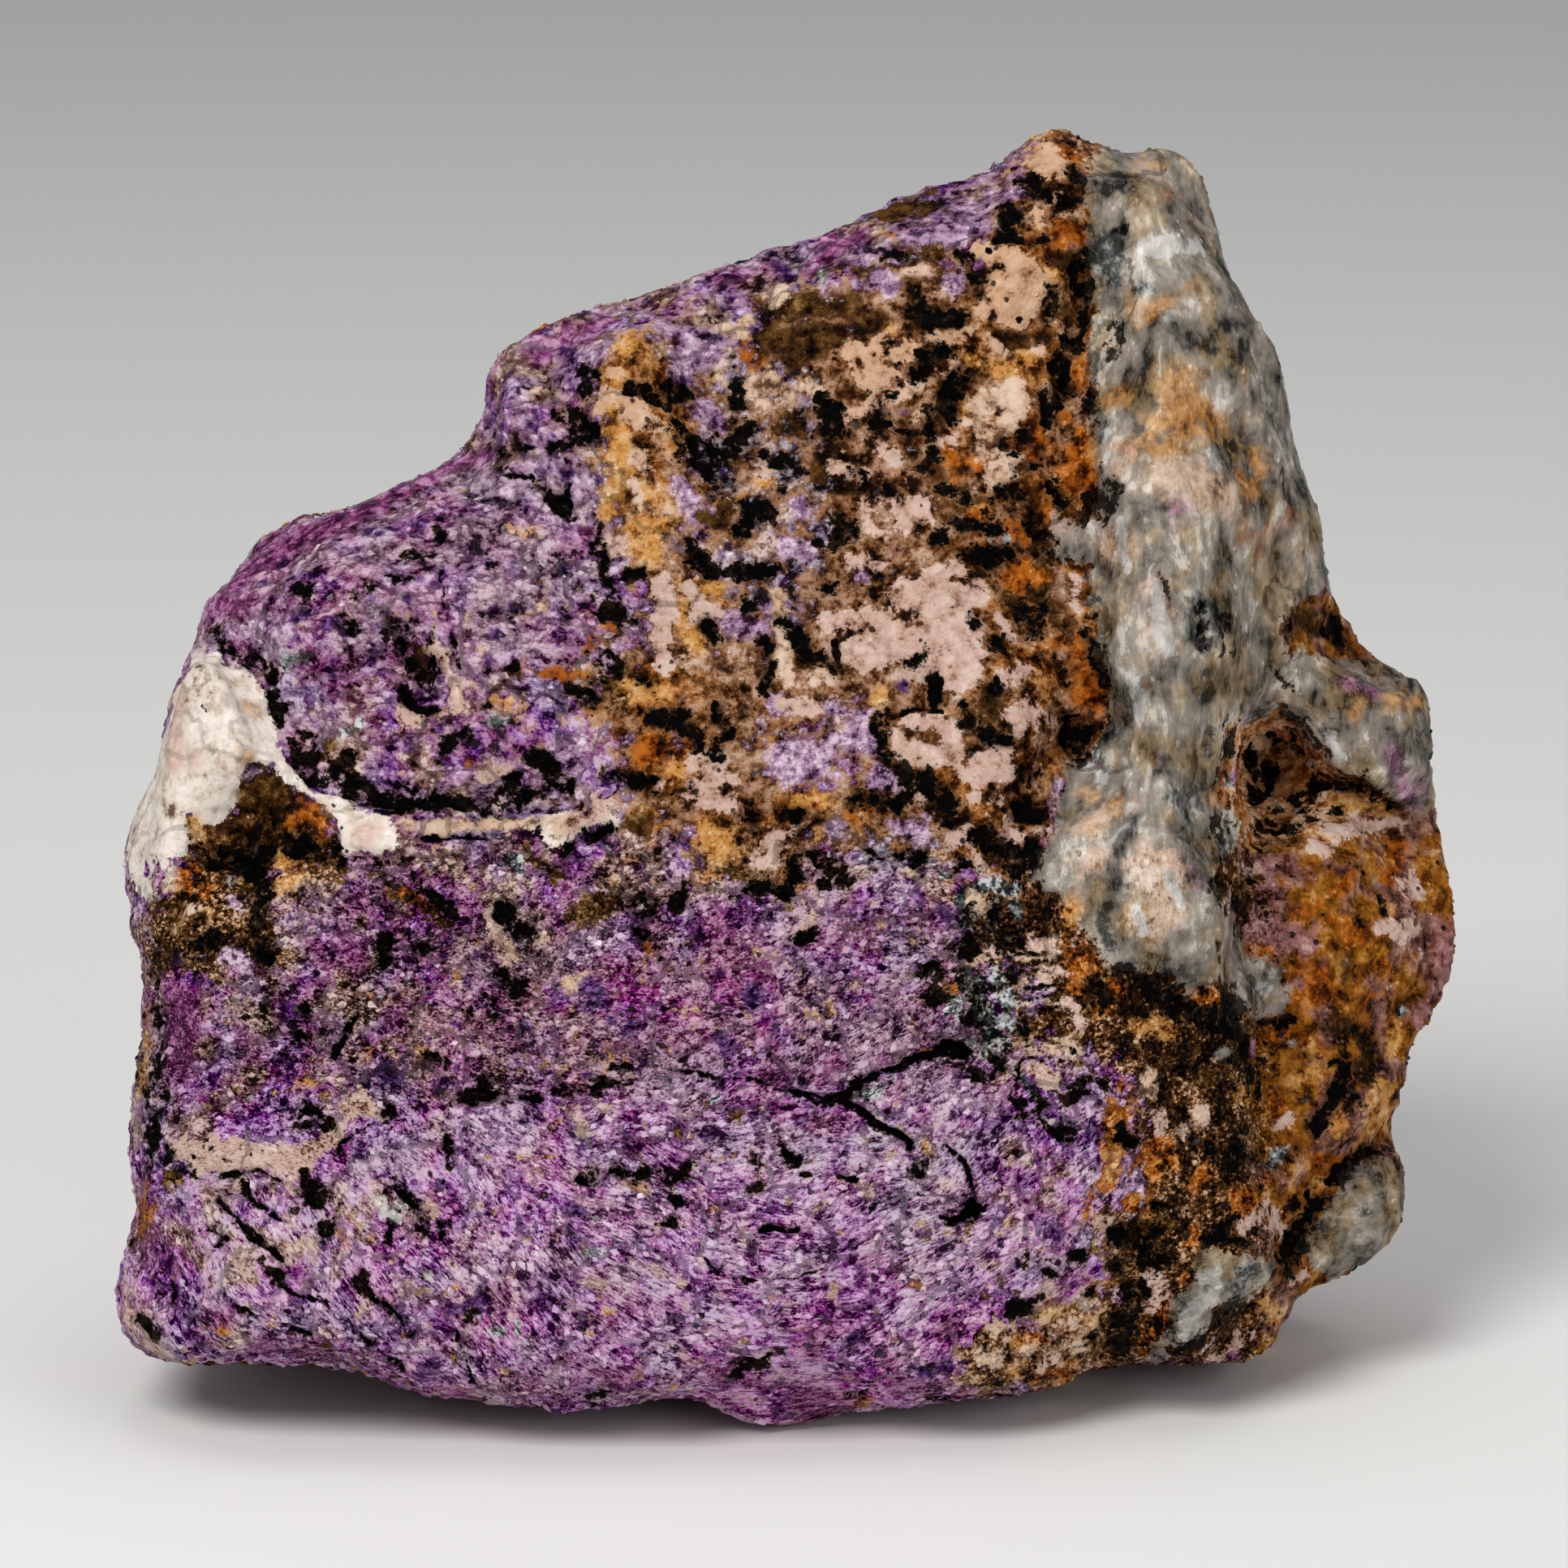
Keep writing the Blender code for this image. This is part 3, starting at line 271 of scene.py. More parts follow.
ochreMarks = [
    (1410,545,16, 1440,550,14), (1300,340,10), (835,745,10), (1440,500,16, 1500,515,18), (1560,925,9,
    1545,955,9, 1575,975,9), (1600,950,8), (1545,1010,8, 1590,990,7), (1400,1128,10), (1348,1062,8),
    (1256,1654,8, 1266,1650,5), (1318,1678,8), (1297,1713,9, 1280,1712,6), (1345,1640,6), (1340,1575,5),
    (1365,1575,5), (1450,470,22, 1450,520,26, 1480,500,16), (1250,1690,6), (1375,1400,9, 1370,1440,8),
    (1558,908,4), (1584,938,4, 1586,946,4), (1496,984,8), (912,608,5, 935,600,8, 955,597,6), (1293,1612,7,
    1284,1613,5), (1290,1628,5), (1357,1607,6, 1366,1600,4), (1272,1655,4), (1285,1711,5), (1545,1045,6),
    (760,470,14, 762,500,12), (762,520,13, 760,560,14), (775,580,12), (768,655,10, 800,690,10), (610,861,9),
    (626,871,7), (775,430,15, 786,421,14), (755,546,15, 770,566,12), (755,601,15, 766,621,12, 746,630,7),
    (790,601,7, 801,611,7), (785,646,11, 811,646,12, 831,645,5), (800,666,11, 808,686,4), (765,530,5),
    (790,520,7), (840,721,7, 881,726,9, 890,741,5), (836,746,5, 836,770,5), (850,776,13, 860,796,9),
    (790,760,5), (756,836,9, 781,851,11, 821,851,8), (795,852,9), (1085,851,8, 1076,866,7, 1090,871,5),
    (1006,981,10, 1021,986,9), (985,986,11, 975,996,7), (870,1031,15, 890,1041,15, 881,1056,11, 906,1051,9),
    (900,1021,9), (836,951,9), (1005,1026,7), (1191,511,6, 1196,501,4), (1201,441,10, 1211,451,6),
    (1226,456,12, 1251,451,9, 1270,441,8), (1401,385,10, 1426,378,8, 1441,368,7, 1456,360,5), (1361,491,11,
    1386,486,9), (1421,521,14, 1451,531,18, 1486,526,16, 1505,520,8), (1545,561,10, 1556,581,10,
    1541,601,8), (1675,876,11), (1720,863,12, 1741,870,7), (1371,995,9, 1381,985,6), (1346,985,6,
    1336,976,4), (1351,1021,7, 1336,1026,7), (1321,1121,11, 1326,1106,8, 1321,1141,6), (1650,992,12,
    1680,990,12, 1705,1000,10), (1421,1266,15, 1441,1271,11, 1401,1261,9), (355,1061,12, 366,1076,10,
    346,1086,9), (340,1096,6), (260,1121,6), (372,1332,7, 385,1333,5), (515,1292,6, 525,1299,4),
    (533,1355,4, 540,1360,4), (416,1521,9, 426,1536,6), (771,1461,7, 786,1463,7), (861,1466,5),
    (1146,1421,6), (1296,1611,7, 1301,1616,4), (1286,1620,4), (1261,1651,4, 1262,1657,4), (1331,1621,6,
    1346,1625,5), (1711,1121,7), (1701,1371,17, 1706,1341,13, 1701,1391,9), (1716,1291,9, 1721,1271,7),
    (1616,1292,9), (1601,1331,9, 1621,1326,7), (1531,1346,8, 1536,1356,7), (1541,1621,8), (1556,1601,9,
    1566,1621,9), (182,1230,3, 182,1260,4, 178,1300,4, 172,1341,5), (1176,926,6, 1188,915,6), (305,873,4,
    315,878,3), (301,936,6), (785,1690,4), (985,1766,4), (235,1458,5), (1651,1380,11, 1646,1396,7),
    (1615,1476,4, 1631,1466,6, 1641,1456,6), (1605,1491,5, 1600,1506,4), (240,1011,5, 246,1031,5),
    (1395,1365,5), (985,290,3), (1095,288,5), (1101,410,4), (1410,200,6, 1430,200,4), (206,1405,5),
]
tanMarks = [
    (1534,922,5), (1589,928,5), (1556,949,4), (1537,936,4), (1565,974,4), (1582,1014,6), (1640,1020,7,
    1656,1031,8), (1352,1511,9, 1362,1519,7), (1340,1611,7, 1350,1603,6), (1300,1672,5), (1349,1690,7),
    (1416,1570,9, 1426,1585,6), (1415,1605,6), (1186,1185,6, 1200,1182,8, 1215,1186,6), (1216,1170,5,
    1228,1172,5), (1275,1150,8), (1331,1260,8), (1262,1170,7, 1300,1172,6), (1262,1205,6, 1310,1200,5),
    (1265,1240,6, 1320,1236,6), (1270,1290,7, 1330,1296,7), (530,792,7, 541,811,8, 549,831,6, 561,851,9,
    566,866,7), (586,846,9), (598,951,13, 621,951,13), (498,881,11, 515,886,9), (440,946,8), (790,500,13,
    771,491,11, 746,481,7), (736,505,7), (771,516,9, 801,521,12), (785,561,11, 801,581,7), (756,671,13,
    771,666,9), (816,721,15, 816,761,15, 815,791,13, 821,821,11), (851,721,9, 861,756,11, 886,751,7),
    (960,571,11, 941,576,9), (1055,431,13, 1071,461,19, 1086,451,20, 1091,481,17, 1076,500,11),
    (1041,515,11, 1056,510,10), (1031,571,11, 1061,581,9), (1071,621,11), (1041,691,8, 1066,691,11,
    1081,700,7), (1281,191,16, 1301,206,14, 1276,216,9), (1301,241,7, 1296,251,5), (1276,261,9, 1281,276,7),
    (1342,201,7), (1311,262,7, 1326,258,4), (1201,310,10, 1216,310,12, 1241,316,16, 1261,331,20,
    1271,361,22, 1251,386,20, 1231,371,18, 1225,341,14), (1215,385,10), (1326,405,5), (1221,420,9,
    1236,430,6), (1161,420,9, 1191,410,9, 1146,415,7), (1281,430,7), (1126,431,12, 1111,436,11),
    (1086,425,11), (1166,461,6, 1176,450,5), (1156,540,7, 1171,545,8), (1081,551,12, 1071,541,7),
    (1101,560,9), (1121,590,5), (1061,591,7), (1111,625,14, 1121,641,20, 1136,626,16), (1086,620,5,
    1071,641,6, 1081,661,8), (1301,651,10, 1311,656,12, 1321,641,9), (1321,710,4, 1331,720,5, 1326,740,7),
    (1145,712,14, 1180,705,12, 1205,715,8), (1115,735,22, 1160,735,26, 1200,735,14), (1050,765,12,
    1090,768,14, 1015,768,12), (1060,805,26, 1100,790,24, 1145,780,30, 1190,775,26), (1120,825,14,
    1170,830,26, 1195,815,20), (1121,890,13, 1151,893,15, 1176,903,14, 1171,930,17, 1141,931,18,
    1115,925,14, 1105,900,8), (1231,931,18, 1201,951,18, 1241,951,11), (1141,980,11, 1126,976,7),
    (1231,985,9), (1201,981,9), (1256,895,13, 1241,886,9, 1270,881,12, 1266,861,9), (1291,891,7),
    (1240,835,9, 1260,825,9), (1235,765,8, 1245,785,6), (856,940,10, 881,941,16, 871,971,18, 851,976,12),
    (901,960,9), (896,986,10, 871,990,10), (961,1041,13, 941,1041,11, 976,1026,7), (961,1061,11,
    936,1061,9), (821,965,5, 811,970,4), (991,1111,7, 1001,1126,9, 991,1141,8), (996,1100,5), (611,1131,7,
    613,1151,9, 626,1166,10, 641,1176,8), (626,1186,8), (651,1161,5, 671,1156,5), (606,1120,5),
    (766,1126,6), (736,986,7, 746,996,5), (1176,1031,12, 1191,1026,11), (1231,1030,9, 1246,1031,9,
    1256,1026,7), (1236,1006,5), (1216,1005,5), (1206,1061,7, 1201,1051,5), (1281,1026,7), (1265,1151,7,
    1276,1161,5), (1331,1256,7, 1336,1266,6), (1720,1146,11, 1741,1151,7, 1701,1141,5), (1741,1101,9,
    1731,1081,9), (1621,1041,11, 1641,1051,9), (1661,1021,11, 1720,1016,9), (426,1371,14, 451,1366,12,
    470,1375,7), (441,1351,8), (225,1415,14, 250,1425,22, 290,1423,20, 330,1426,18, 362,1428,20,
    395,1412,16, 415,1400,10), (361,1455,9, 358,1468,7), (240,1445,7), (530,1485,6, 525,1476,4, 541,1495,6),
    (1111,1385,8, 1121,1390,8, 1131,1395,5), (1361,1510,7, 1371,1520,5, 1356,1530,5), (1415,1581,7,
    1421,1571,7, 1431,1590,5), (1411,1605,7, 1421,1611,6, 1431,1600,5), (1531,1511,9, 1561,1491,7,
    1571,1511,9, 1581,1521,9), (1526,1651,11, 1541,1646,9), (1281,1320,18, 1301,1330,12), (1421,1375,10,
    1431,1386,9), (1631,925,8, 1641,931,8, 1611,941,6), (225,851,7, 222,881,7, 215,911,9, 218,940,11),
    (241,936,8), (246,760,5, 246,790,6), (1601,1571,7, 1606,1561,5), (1491,1678,7, 1501,1676,5),
    (1541,1071,11), (1526,1050,5), (965,865,8, 1000,870,8), (760,460,9), (1055,855,5), (1405,1140,4),
    (440,1030,8, 460,1025,8, 445,1042,6), (1575,1390,8, 1590,1380,8), (745,1000,10, 715,1010,12,
    700,1022,12), (1480,1375,9), (1345,1690,5), (1240,1650,4),
]
# Cream marks are pale cream patches; the thin line at about x 1110 to 1150, y 1080 is a painted highlight
# along a ledge's top rim
creamAndRimHighlightMarks = [
    (170,1590,6, 176,1625,10, 192,1655,11, 214,1674,6), (1405,1138,14, 1425,1152,10), (1352,1055,10,
    1342,1080,8), (1291,1583,5), (1356,1601,6), (1303,1630,6), (1224,1633,6, 1240,1630,4), (1227,1675,8),
    (1286,1686,6), (1347,1689,6), (1256,1640,4), (1330,1618,5), (1311,1661,4, 1326,1655,7, 1336,1661,5,
    1320,1668,4), (1255,1668,5, 1271,1662,5), (1233,1672,6), (1240,1660,4), (1310,1630,5, 1326,1628,5),
    (1290,1718,5), (1292,1160,7), (1322,1165,6), (1300,1285,5, 1320,1290,6, 1330,1297,4), (1256,1288,3,
    1275,1285,3), (1260,1185,3, 1276,1180,3, 1300,1180,3), (1240,1185,5), (500,1020,9, 530,1018,9,
    560,1018,8, 600,1016,7, 640,1014,7), (641,1019,5, 670,1012,8, 686,1015,8), (205,1095,7), (240,1119,7,
    251,1112,5), (890,471,8), (915,485,9, 930,475,12, 950,475,15, 975,482,10, 982,496,7), (941,501,8),
    (1005,470,7, 1006,500,7), (890,402,10, 907,410,9, 925,391,8), (962,362,11, 955,372,8), (780,591,5,
    782,621,4), (843,811,6, 846,831,7), (960,735,12, 961,755,12, 970,790,13, 968,812,11), (970,836,10),
    (1011,831,11, 1031,828,5), (1231,491,16, 1251,481,16, 1256,501,12, 1241,521,13, 1226,546,12,
    1211,546,12, 1201,521,11, 1206,491,9), (1111,486,9, 1131,476,7), (1236,581,16, 1226,596,12, 1251,561,8),
    (1128,515,4, 1130,526,4), (1165,496,4), (1145,520,4), (1121,335,6, 1131,330,5), (1401,305,5, 1431,301,8,
    1470,302,8), (1441,590,20, 1471,585,20, 1501,610,20, 1511,625,14, 1471,605,18), (1376,575,10,
    1396,560,8), (1371,670,18, 1386,670,15), (1500,503,5, 1507,512,4), (1395,990,3), (1361,1003,7,
    1346,1010,9, 1331,1020,9), (1396,1061,15, 1416,1056,17, 1441,1066,18, 1441,1101,17, 1401,1086,14),
    (1421,1130,8, 1451,1120,14), (1201,1111,12, 1196,1101,7, 1211,1121,6), (1206,1146,5), (1600,998,6,
    1596,1005,3), (1190,1186,5, 1211,1180,5, 1216,1175,3), (1246,1175,4, 1261,1180,3, 1281,1176,3),
    (1285,1190,3, 1261,1195,3), (1266,1295,4, 1291,1290,4, 1311,1290,4, 1326,1300,3), (1071,1375,4,
    1081,1381,4), (1060,1368,2), (471,1480,5, 475,1495,7, 469,1501,4), (380,1531,11, 385,1551,9),
    (360,1510,7), (1171,1456,10, 1161,1466,7), (1066,1466,9, 1056,1456,5), (1211,1665,4, 1216,1681,5,
    1231,1676,4), (1321,1650,5, 1331,1656,5), (1505,1297,6, 1500,1301,4), (1592,1285,4), (1406,1341,8,
    1421,1346,7, 1411,1326,5), (1465,1385,8, 1476,1375,6, 1462,1398,5), (1395,1548,3), (155,1590,7,
    160,1615,9, 172,1640,8, 190,1662,8, 206,1676,6), (168,1352,5, 167,1381,5, 171,1411,5), (840,486,4),
    (665,480,5), (700,1216,8, 717,1206,7), (1112,1077,2, 1126,1079,2, 1141,1085,2, 1150,1090,2),
    (700,1600,4, 720,1615,4, 735,1625,3), (790,1560,5, 840,1575,6), (830,1660,4, 855,1680,4), (525,1571,3),
    (1416,725,10, 1430,720,9, 1440,745,8, 1430,775,17, 1436,795,10), (730,1575,8, 745,1590,8), (715,1370,6,
    720,1395,5),
]
lilacMarks = [
    (1060,705,10), (960,865,14), (745,905,10), (1523,940,5, 1520,965,5), (1259,1595,8), (1278,1570,6),
    (1330,1585,6), (1256,1702,7), (1270,1640,5), (1300,1645,4), (660,541,20, 641,501,13), (665,570,11,
    641,580,13), (720,611,13, 718,591,9), (771,741,9, 786,766,7), (835,461,15, 851,431,17, 881,441,11),
    (866,506,13, 886,521,11), (836,601,11, 851,621,11, 856,641,7), (836,672,7), (985,626,13), (966,676,13,
    996,681,13), (900,766,13, 931,776,11), (961,715,10), (1171,251,13, 1191,256,15, 1201,271,17,
    1171,281,19, 1151,291,11, 1186,295,11), (1240,241,9, 1261,239,7), (1220,246,9), (1166,346,13,
    1181,341,11, 1176,358,9), (1081,346,13, 1096,351,11), (1066,310,10), (1121,291,11, 1136,286,8),
    (1091,951,13, 1081,961,11, 1101,965,11), (1061,901,15, 1066,916,13, 1041,911,11), (1056,886,9),
    (1011,936,12, 1026,906,9), (1026,871,11, 1036,881,7), (691,921,17, 711,916,13, 681,936,9, 715,941,9),
    (616,920,7), (661,986,7), (716,986,7), (771,911,7), (836,916,7), (971,931,23, 996,931,19, 981,951,19,
    961,946,13, 1006,951,9), (1031,1021,11, 1021,1031,7), (1121,1021,13, 1136,1031,11, 1101,1021,9),
    (1141,1010,7), (721,1166,19, 701,1181,15, 741,1161,13), (281,1176,13, 301,1191,11, 311,1221,13),
    (291,1111,8), (581,1381,13, 560,1385,8), (501,1431,14, 470,1425,14, 440,1440,14), (1281,1216,15,
    1271,1241,12, 1286,1236,11), (1376,1591,9, 1386,1601,7), (1311,1636,4, 1321,1630,3), (1371,1361,15,
    1351,1361,13, 1381,1381,11), (1371,1421,11, 1386,1426,4), (1331,1441,13, 1351,1456,15, 1381,1461,9),
    (615,1070,12), (1550,1110,8), (1085,1085,15, 1110,1100,15), (340,780,20, 300,775,14), (1190,1352,20,
    1150,1340,14), (620,600,8), (645,1660,10), (1130,1625,14), (1270,340,3),
]
violetMarks = [
    (375,753,7), (398,769,9, 421,762,6), (365,786,5), (428,776,9), (514,648,9, 522,666,7), (455,655,8,
    470,661,4), (448,691,4), (515,713,6), (500,741,7), (458,735,5), (465,776,5), (462,801,9), (570,636,4,
    577,646,4), (610,756,6), (615,781,7), (565,721,4), (350,690,5), (325,716,6), (540,895,7), (500,923,7),
    (380,863,5), (480,863,4), (600,816,4), (575,691,5), (690,431,7, 711,441,7), (665,536,5, 650,521,5),
    (700,581,8, 690,573,4), (745,711,5, 770,736,4), (630,746,4), (960,331,9, 971,336,7), (1080,341,4),
    (1115,511,5), (1112,848,5), (1105,678,4), (1045,486,6), (835,468,7, 850,475,4), (970,921,3),
    (730,1216,12, 741,1236,11, 721,1241,7), (770,1271,11, 781,1266,7), (750,1261,8), (690,1266,7),
    (650,1261,5), (1000,1231,5), (895,1286,13), (955,1261,7, 956,1276,4), (925,1225,18), (1130,1106,9,
    1141,1111,5), (1166,1121,9, 1161,1131,9, 1180,1121,5), (1071,1236,7, 1076,1246,5), (1110,1181,5),
    (505,1315,4), (215,1181,5), (535,1456,4, 541,1466,3), (520,1476,5), (440,1411,5, 446,1426,4,
    431,1413,4), (560,1611,10, 590,1606,12), (580,1596,8), (540,1686,11, 520,1690,8), (775,1386,5,
    765,1396,4, 782,1376,3), (725,1328,7), (630,1448,4), (690,1486,5, 701,1491,9, 712,1492,7), (655,1466,5),
    (640,1501,4, 635,1515,3), (650,1583,7), (680,1608,4), (825,1608,4), (870,1401,7), (865,1501,5),
    (905,1491,4), (985,1381,7), (1050,1508,5), (1130,1690,7, 1151,1691,8, 1171,1686,6), (1060,1641,7,
    1046,1646,5), (470,1320,11, 485,1330,8), (555,1335,9, 540,1340,7), (430,1290,7), (290,1365,8),
    (310,1385,7), (1295,1271,5), (360,760,5), (580,1215,8), (585,1180,6), (375,985,4), (480,975,5),
    (1180,1330,5), (1300,1520,7), (1185,1365,4), (800,1355,4), (960,1610,3),
]
magentaMarks = [
    (224,1225,15, 226,1290,15), (232,790,12, 262,735,22, 300,690,26, 350,668,24, 420,640,20, 480,605,16),
    (222,1235,20, 225,1270,24, 218,1315,16), (182,1450,12, 180,1500,13, 186,1550,10), (985,1718,12,
    1015,1725,14, 1050,1720,12), (930,1700,10, 880,1695,8), (1110,1705,12, 1160,1700,8), (1305,1582,5,
    1318,1575,7, 1334,1573,7), (1305,1520,8, 1310,1540,7), (1278,1645,4), (1385,1378,8), (1722,935,6,
    1728,960,7), (1735,985,8, 1748,965,6), (255,745,13, 300,690,16, 350,668,15, 420,648,14, 480,605,13,
    540,580,12, 600,560,10), (290,746,16), (275,716,11), (660,441,12, 701,416,11, 741,405,7), (880,346,7,
    921,341,7), (950,335,10), (1001,331,8, 1031,301,12, 1061,291,9), (215,1225,12, 222,1250,20, 220,1280,20,
    215,1310,14), (431,1171,20, 441,1186,13), (301,1276,13, 321,1291,11, 311,1301,9), (216,1550,7,
    221,1566,5), (206,1531,7), (271,1621,20), (310,1660,9, 370,1662,9, 400,1655,8), (716,1693,5, 741,1691,9,
    761,1691,13, 776,1700,9, 751,1710,10), (1031,1311,11, 1011,1331,9), (1000,1321,9), (1001,1381,9),
    (775,1421,5), (1446,626,5, 1456,629,5, 1450,636,4), (1466,620,3), (1721,931,5, 1726,961,8, 1736,986,9,
    1748,970,5), (1661,841,6, 1691,851,5), (1441,1680,7, 1461,1680,7), (1426,1685,4), (1520,1671,5),
    (455,1058,3), (1455,1059,4, 1461,1066,4), (1478,1086,3), (1010,1720,22, 985,1735,18, 1050,1740,12),
    (1040,1620,10, 1010,1640,10), (540,1410,6), (660,1700,10), (1000,1660,12), (250,1700,8), (1100,1680,10),
    (960,1235,10), (845,1395,6), (1165,1640,8), (1310,1505,9),
]
greyMarks = [
    (1236,1212,11, 1242,1235,11), (1237,1262,13, 1218,1262,9), (1225,1288,10), (1192,1236,6), (1170,1245,6),
    (1205,1205,5), (1215,1300,7), (1250,1095,8, 1235,1100,6), (1210,1085,7), (357,815,12, 370,808,7),
    (425,905,7), (445,895,7), (600,886,7, 620,890,7), (635,1061,11, 641,1081,7), (1150,1061,4, 1161,1076,5),
    (1211,1091,12, 1231,1086,9), (1191,1136,7, 1201,1131,4), (1220,1111,4, 1221,1131,5, 1226,1151,4),
    (1222,1195,5, 1238,1235,7, 1241,1270,7, 1228,1302,6), (1205,1215,4, 1215,1250,4), (1200,1285,9),
    (1355,930,10, 1361,950,9), (1361,526,7, 1359,541,5), (1180,1235,8, 1190,1255,7), (1295,1376,7),
    (495,1486,7, 485,1491,4), (730,1546,5, 745,1541,6, 756,1535,5, 761,1530,4), (606,1636,7, 615,1641,5),
    (640,1630,4), (1731,1241,9), (1660,1331,5), (1580,1420,10, 1570,1431,7), (1510,965,5), (1521,1031,11,
    1506,1046,9), (430,1600,4), (1400,530,8), (780,1385,3), (1080,1345,5, 1050,1350,4, 1110,1325,3),
    (1015,345,7), (340,800,6), (1150,1600,4), (530,1540,5), (460,1505,5), (480,1515,5), (880,1350,5),
]
tealMarks = [
    (1185,1100,12, 1190,1140,12), (1180,1190,9, 1200,1215,14, 1210,1245,17, 1222,1280,14), (1250,1120,8,
    1255,1150,7), (1262,1330,7, 1290,1370,8, 1305,1390,6), (1470,745,8, 1485,742,11, 1500,755,9, 1500,790,9,
    1480,790,12, 1466,775,9, 1470,755,8), (1515,770,4, 1520,790,3), (1530,775,5, 1535,786,4), (1490,830,5),
    (1440,970,7, 1451,991,8, 1460,1010,7), (1391,1030,7, 1396,1010,5), (1391,980,7), (1511,890,5,
    1511,920,5), (1340,700,4, 1345,740,5), (1351,440,7, 1352,466,5), (1381,215,3, 1385,230,3), (1360,310,18,
    1368,340,16, 1375,290,12), (1496,405,7, 1498,430,6), (1410,355,11), (1651,1500,5), (1705,1471,4),
    (1530,1571,13, 1546,1561,8, 1521,1591,8), (1441,1640,7), (1415,1140,6, 1425,1150,5), (1370,1160,10,
    1360,1130,9), (1490,900,5, 1490,930,4), (1640,905,8, 1640,880,6), (1470,980,4, 1480,1000,4),
    (1560,870,6, 1540,880,6), (1520,1150,4, 1525,1190,4), (1540,1205,3, 1545,1235,3), (1680,1490,5),
    (1362,905,5),
]
roseMarks = [
    (1521,1131,10, 1511,1121,8), (1561,1096,14, 1581,1101,12), (1561,1141,20, 1541,1151,18, 1591,1156,18,
    1611,1161,13), (1771,1141,14, 1785,1181,20, 1775,1221,18, 1750,1251,14), (1540,1060,12, 1580,1065,14,
    1610,1080,10), (1650,1130,10), (1600,1210,12, 1630,1190,10), (1690,1330,9),
]
# White marks are white quartz and vein bits, and also painted glints and highlights on dark and glassy spots
whiteAndGlintMarks = [
    (1597,993,6, 1592,988,4), (1567,1018,3), (1389,1548,3, 1403,1548,3), (1236,1256,4), (1222,1284,4,
    1230,1290,3), (1234,1218,3), (1203,1276,2, 1212,1294,2), (1217,1262,3), (1217,1131,3, 1219,1137,3),
    (1176,1162,2), (1221,1161,3), (1189,1238,4), (1294,1386,7, 1286,1376,4), (1252,1235,4), (1233,1303,2),
    (1245,1120,2), (1208,1270,2), (1196,1245,2), (1412,305,12, 1445,302,14, 1475,303,11), (1424,718,5,
    1428,740,10, 1433,775,13, 1436,800,9), (1440,392,8), (1503,500,7, 1500,480,5), (1392,835,6, 1400,860,9,
    1403,885,7), (1345,945,9, 1362,960,7), (1490,560,5, 1500,575,6), (470,1480,8, 478,1495,9, 492,1502,6),
    (466,1500,6), (1480,1575,10, 1500,1570,9, 1495,1595,9, 1475,1610,10, 1455,1640,8), (1565,1200,7,
    1560,1225,6), (1440,1080,7, 1452,1110,7), (1400,1120,6, 1410,1150,7), (1380,640,6, 1388,700,5),
    (1556,470,5, 1575,560,5), (1225,1110,5), (1240,1200,5), (1235,1255,5), (1250,1180,4), (1241,665,5),
    (1220,668,3), (300,1105,4), (285,1085,5), (322,1178,3), (1395,1548,4), (1505,1297,7), (1592,1285,4),
    (525,1571,4), (1735,935,6), (1640,905,6, 1650,930,7), (1555,1195,7),
]
darkDots = [
    (240,1424,4), (260,1418,4), (261,1413,3), (276,1427,4), (283,1433,3), (310,1422,3), (310,1405,3),
    (343,1433,3), (343,1421,2), (365,1405,4), (367,1432,3), (380,1420,2), (402,1403,3), (415,1409,3),
    (440,1394,3), (253,1405,4), (317,1408,3), (415,1395,3), (253,868,3), (258,875,3), (262,868,2),
    (412,993,3), (1218,310,4), (1256,357,3), (1255,394,5), (1265,345,2),
]

# Broad places, by middle, half width, half height and how much
lightSwells = [        # broad light and dark places: middle, half width, half height, how much
    (1425,552,50,40,-0.18), (1030,490,40,40,0.22), (1170,600,45,55,0.23), (1335,1330,55,60,0.23),
    (970,885,45,45,-0.18), (890,590,50,40,-0.16), (1070,720,40,60,-0.14), (310,1320,45,45,0.14),
    (520,1430,90,40,0.13), (720,1290,45,45,-0.2), (840,1262,50,40,0.13), (880,1500,70,45,-0.16),
    (930,1660,90,45,0.11), (820,1040,60,45,-0.18), (720,860,45,45,-0.14), (570,870,45,40,-0.13),
    (1450,1050,40,40,0.14), (900,790,50,50,0.11), (310,1415,120,34,0.1), (1490,772,42,40,-0.2),
    (1430,760,24,60,0.12), (1330,1620,80,80,0.1), (1640,1170,90,110,0.045), (1460,1310,70,90,-0.07),
    (610,952,26,20,0.12), (188,1635,26,40,0.25), (520,1215,300,110,-0.07), (1150,1520,160,140,-0.05),
    (860,1610,70,55,0.26), (1090,1680,230,42,0.17), (1325,1590,85,105,0.22), (1010,390,50,45,0.15),
    (1170,490,55,65,0.16), (870,1290,80,60,0.16), (330,1600,60,60,0.12), (250,1140,50,45,0.2),
    (1430,325,50,55,-0.06), (400,1210,40,60,0.22), (660,800,100,80,-0.07), (640,1050,140,55,-0.12),
    (790,1150,75,65,-0.2), (860,490,60,50,-0.12), (1395,440,50,50,-0.02), (1395,240,50,70,-0.12),
    (500,1350,90,40,-0.12), (1190,1470,70,80,-0.13), (1280,1000,35,80,-0.16), (1385,1150,55,50,-0.18),
    (1490,860,35,50,-0.12), (1460,1310,80,110,-0.1), (680,500,80,140,-0.06), (1475,1600,50,60,0.12),
]
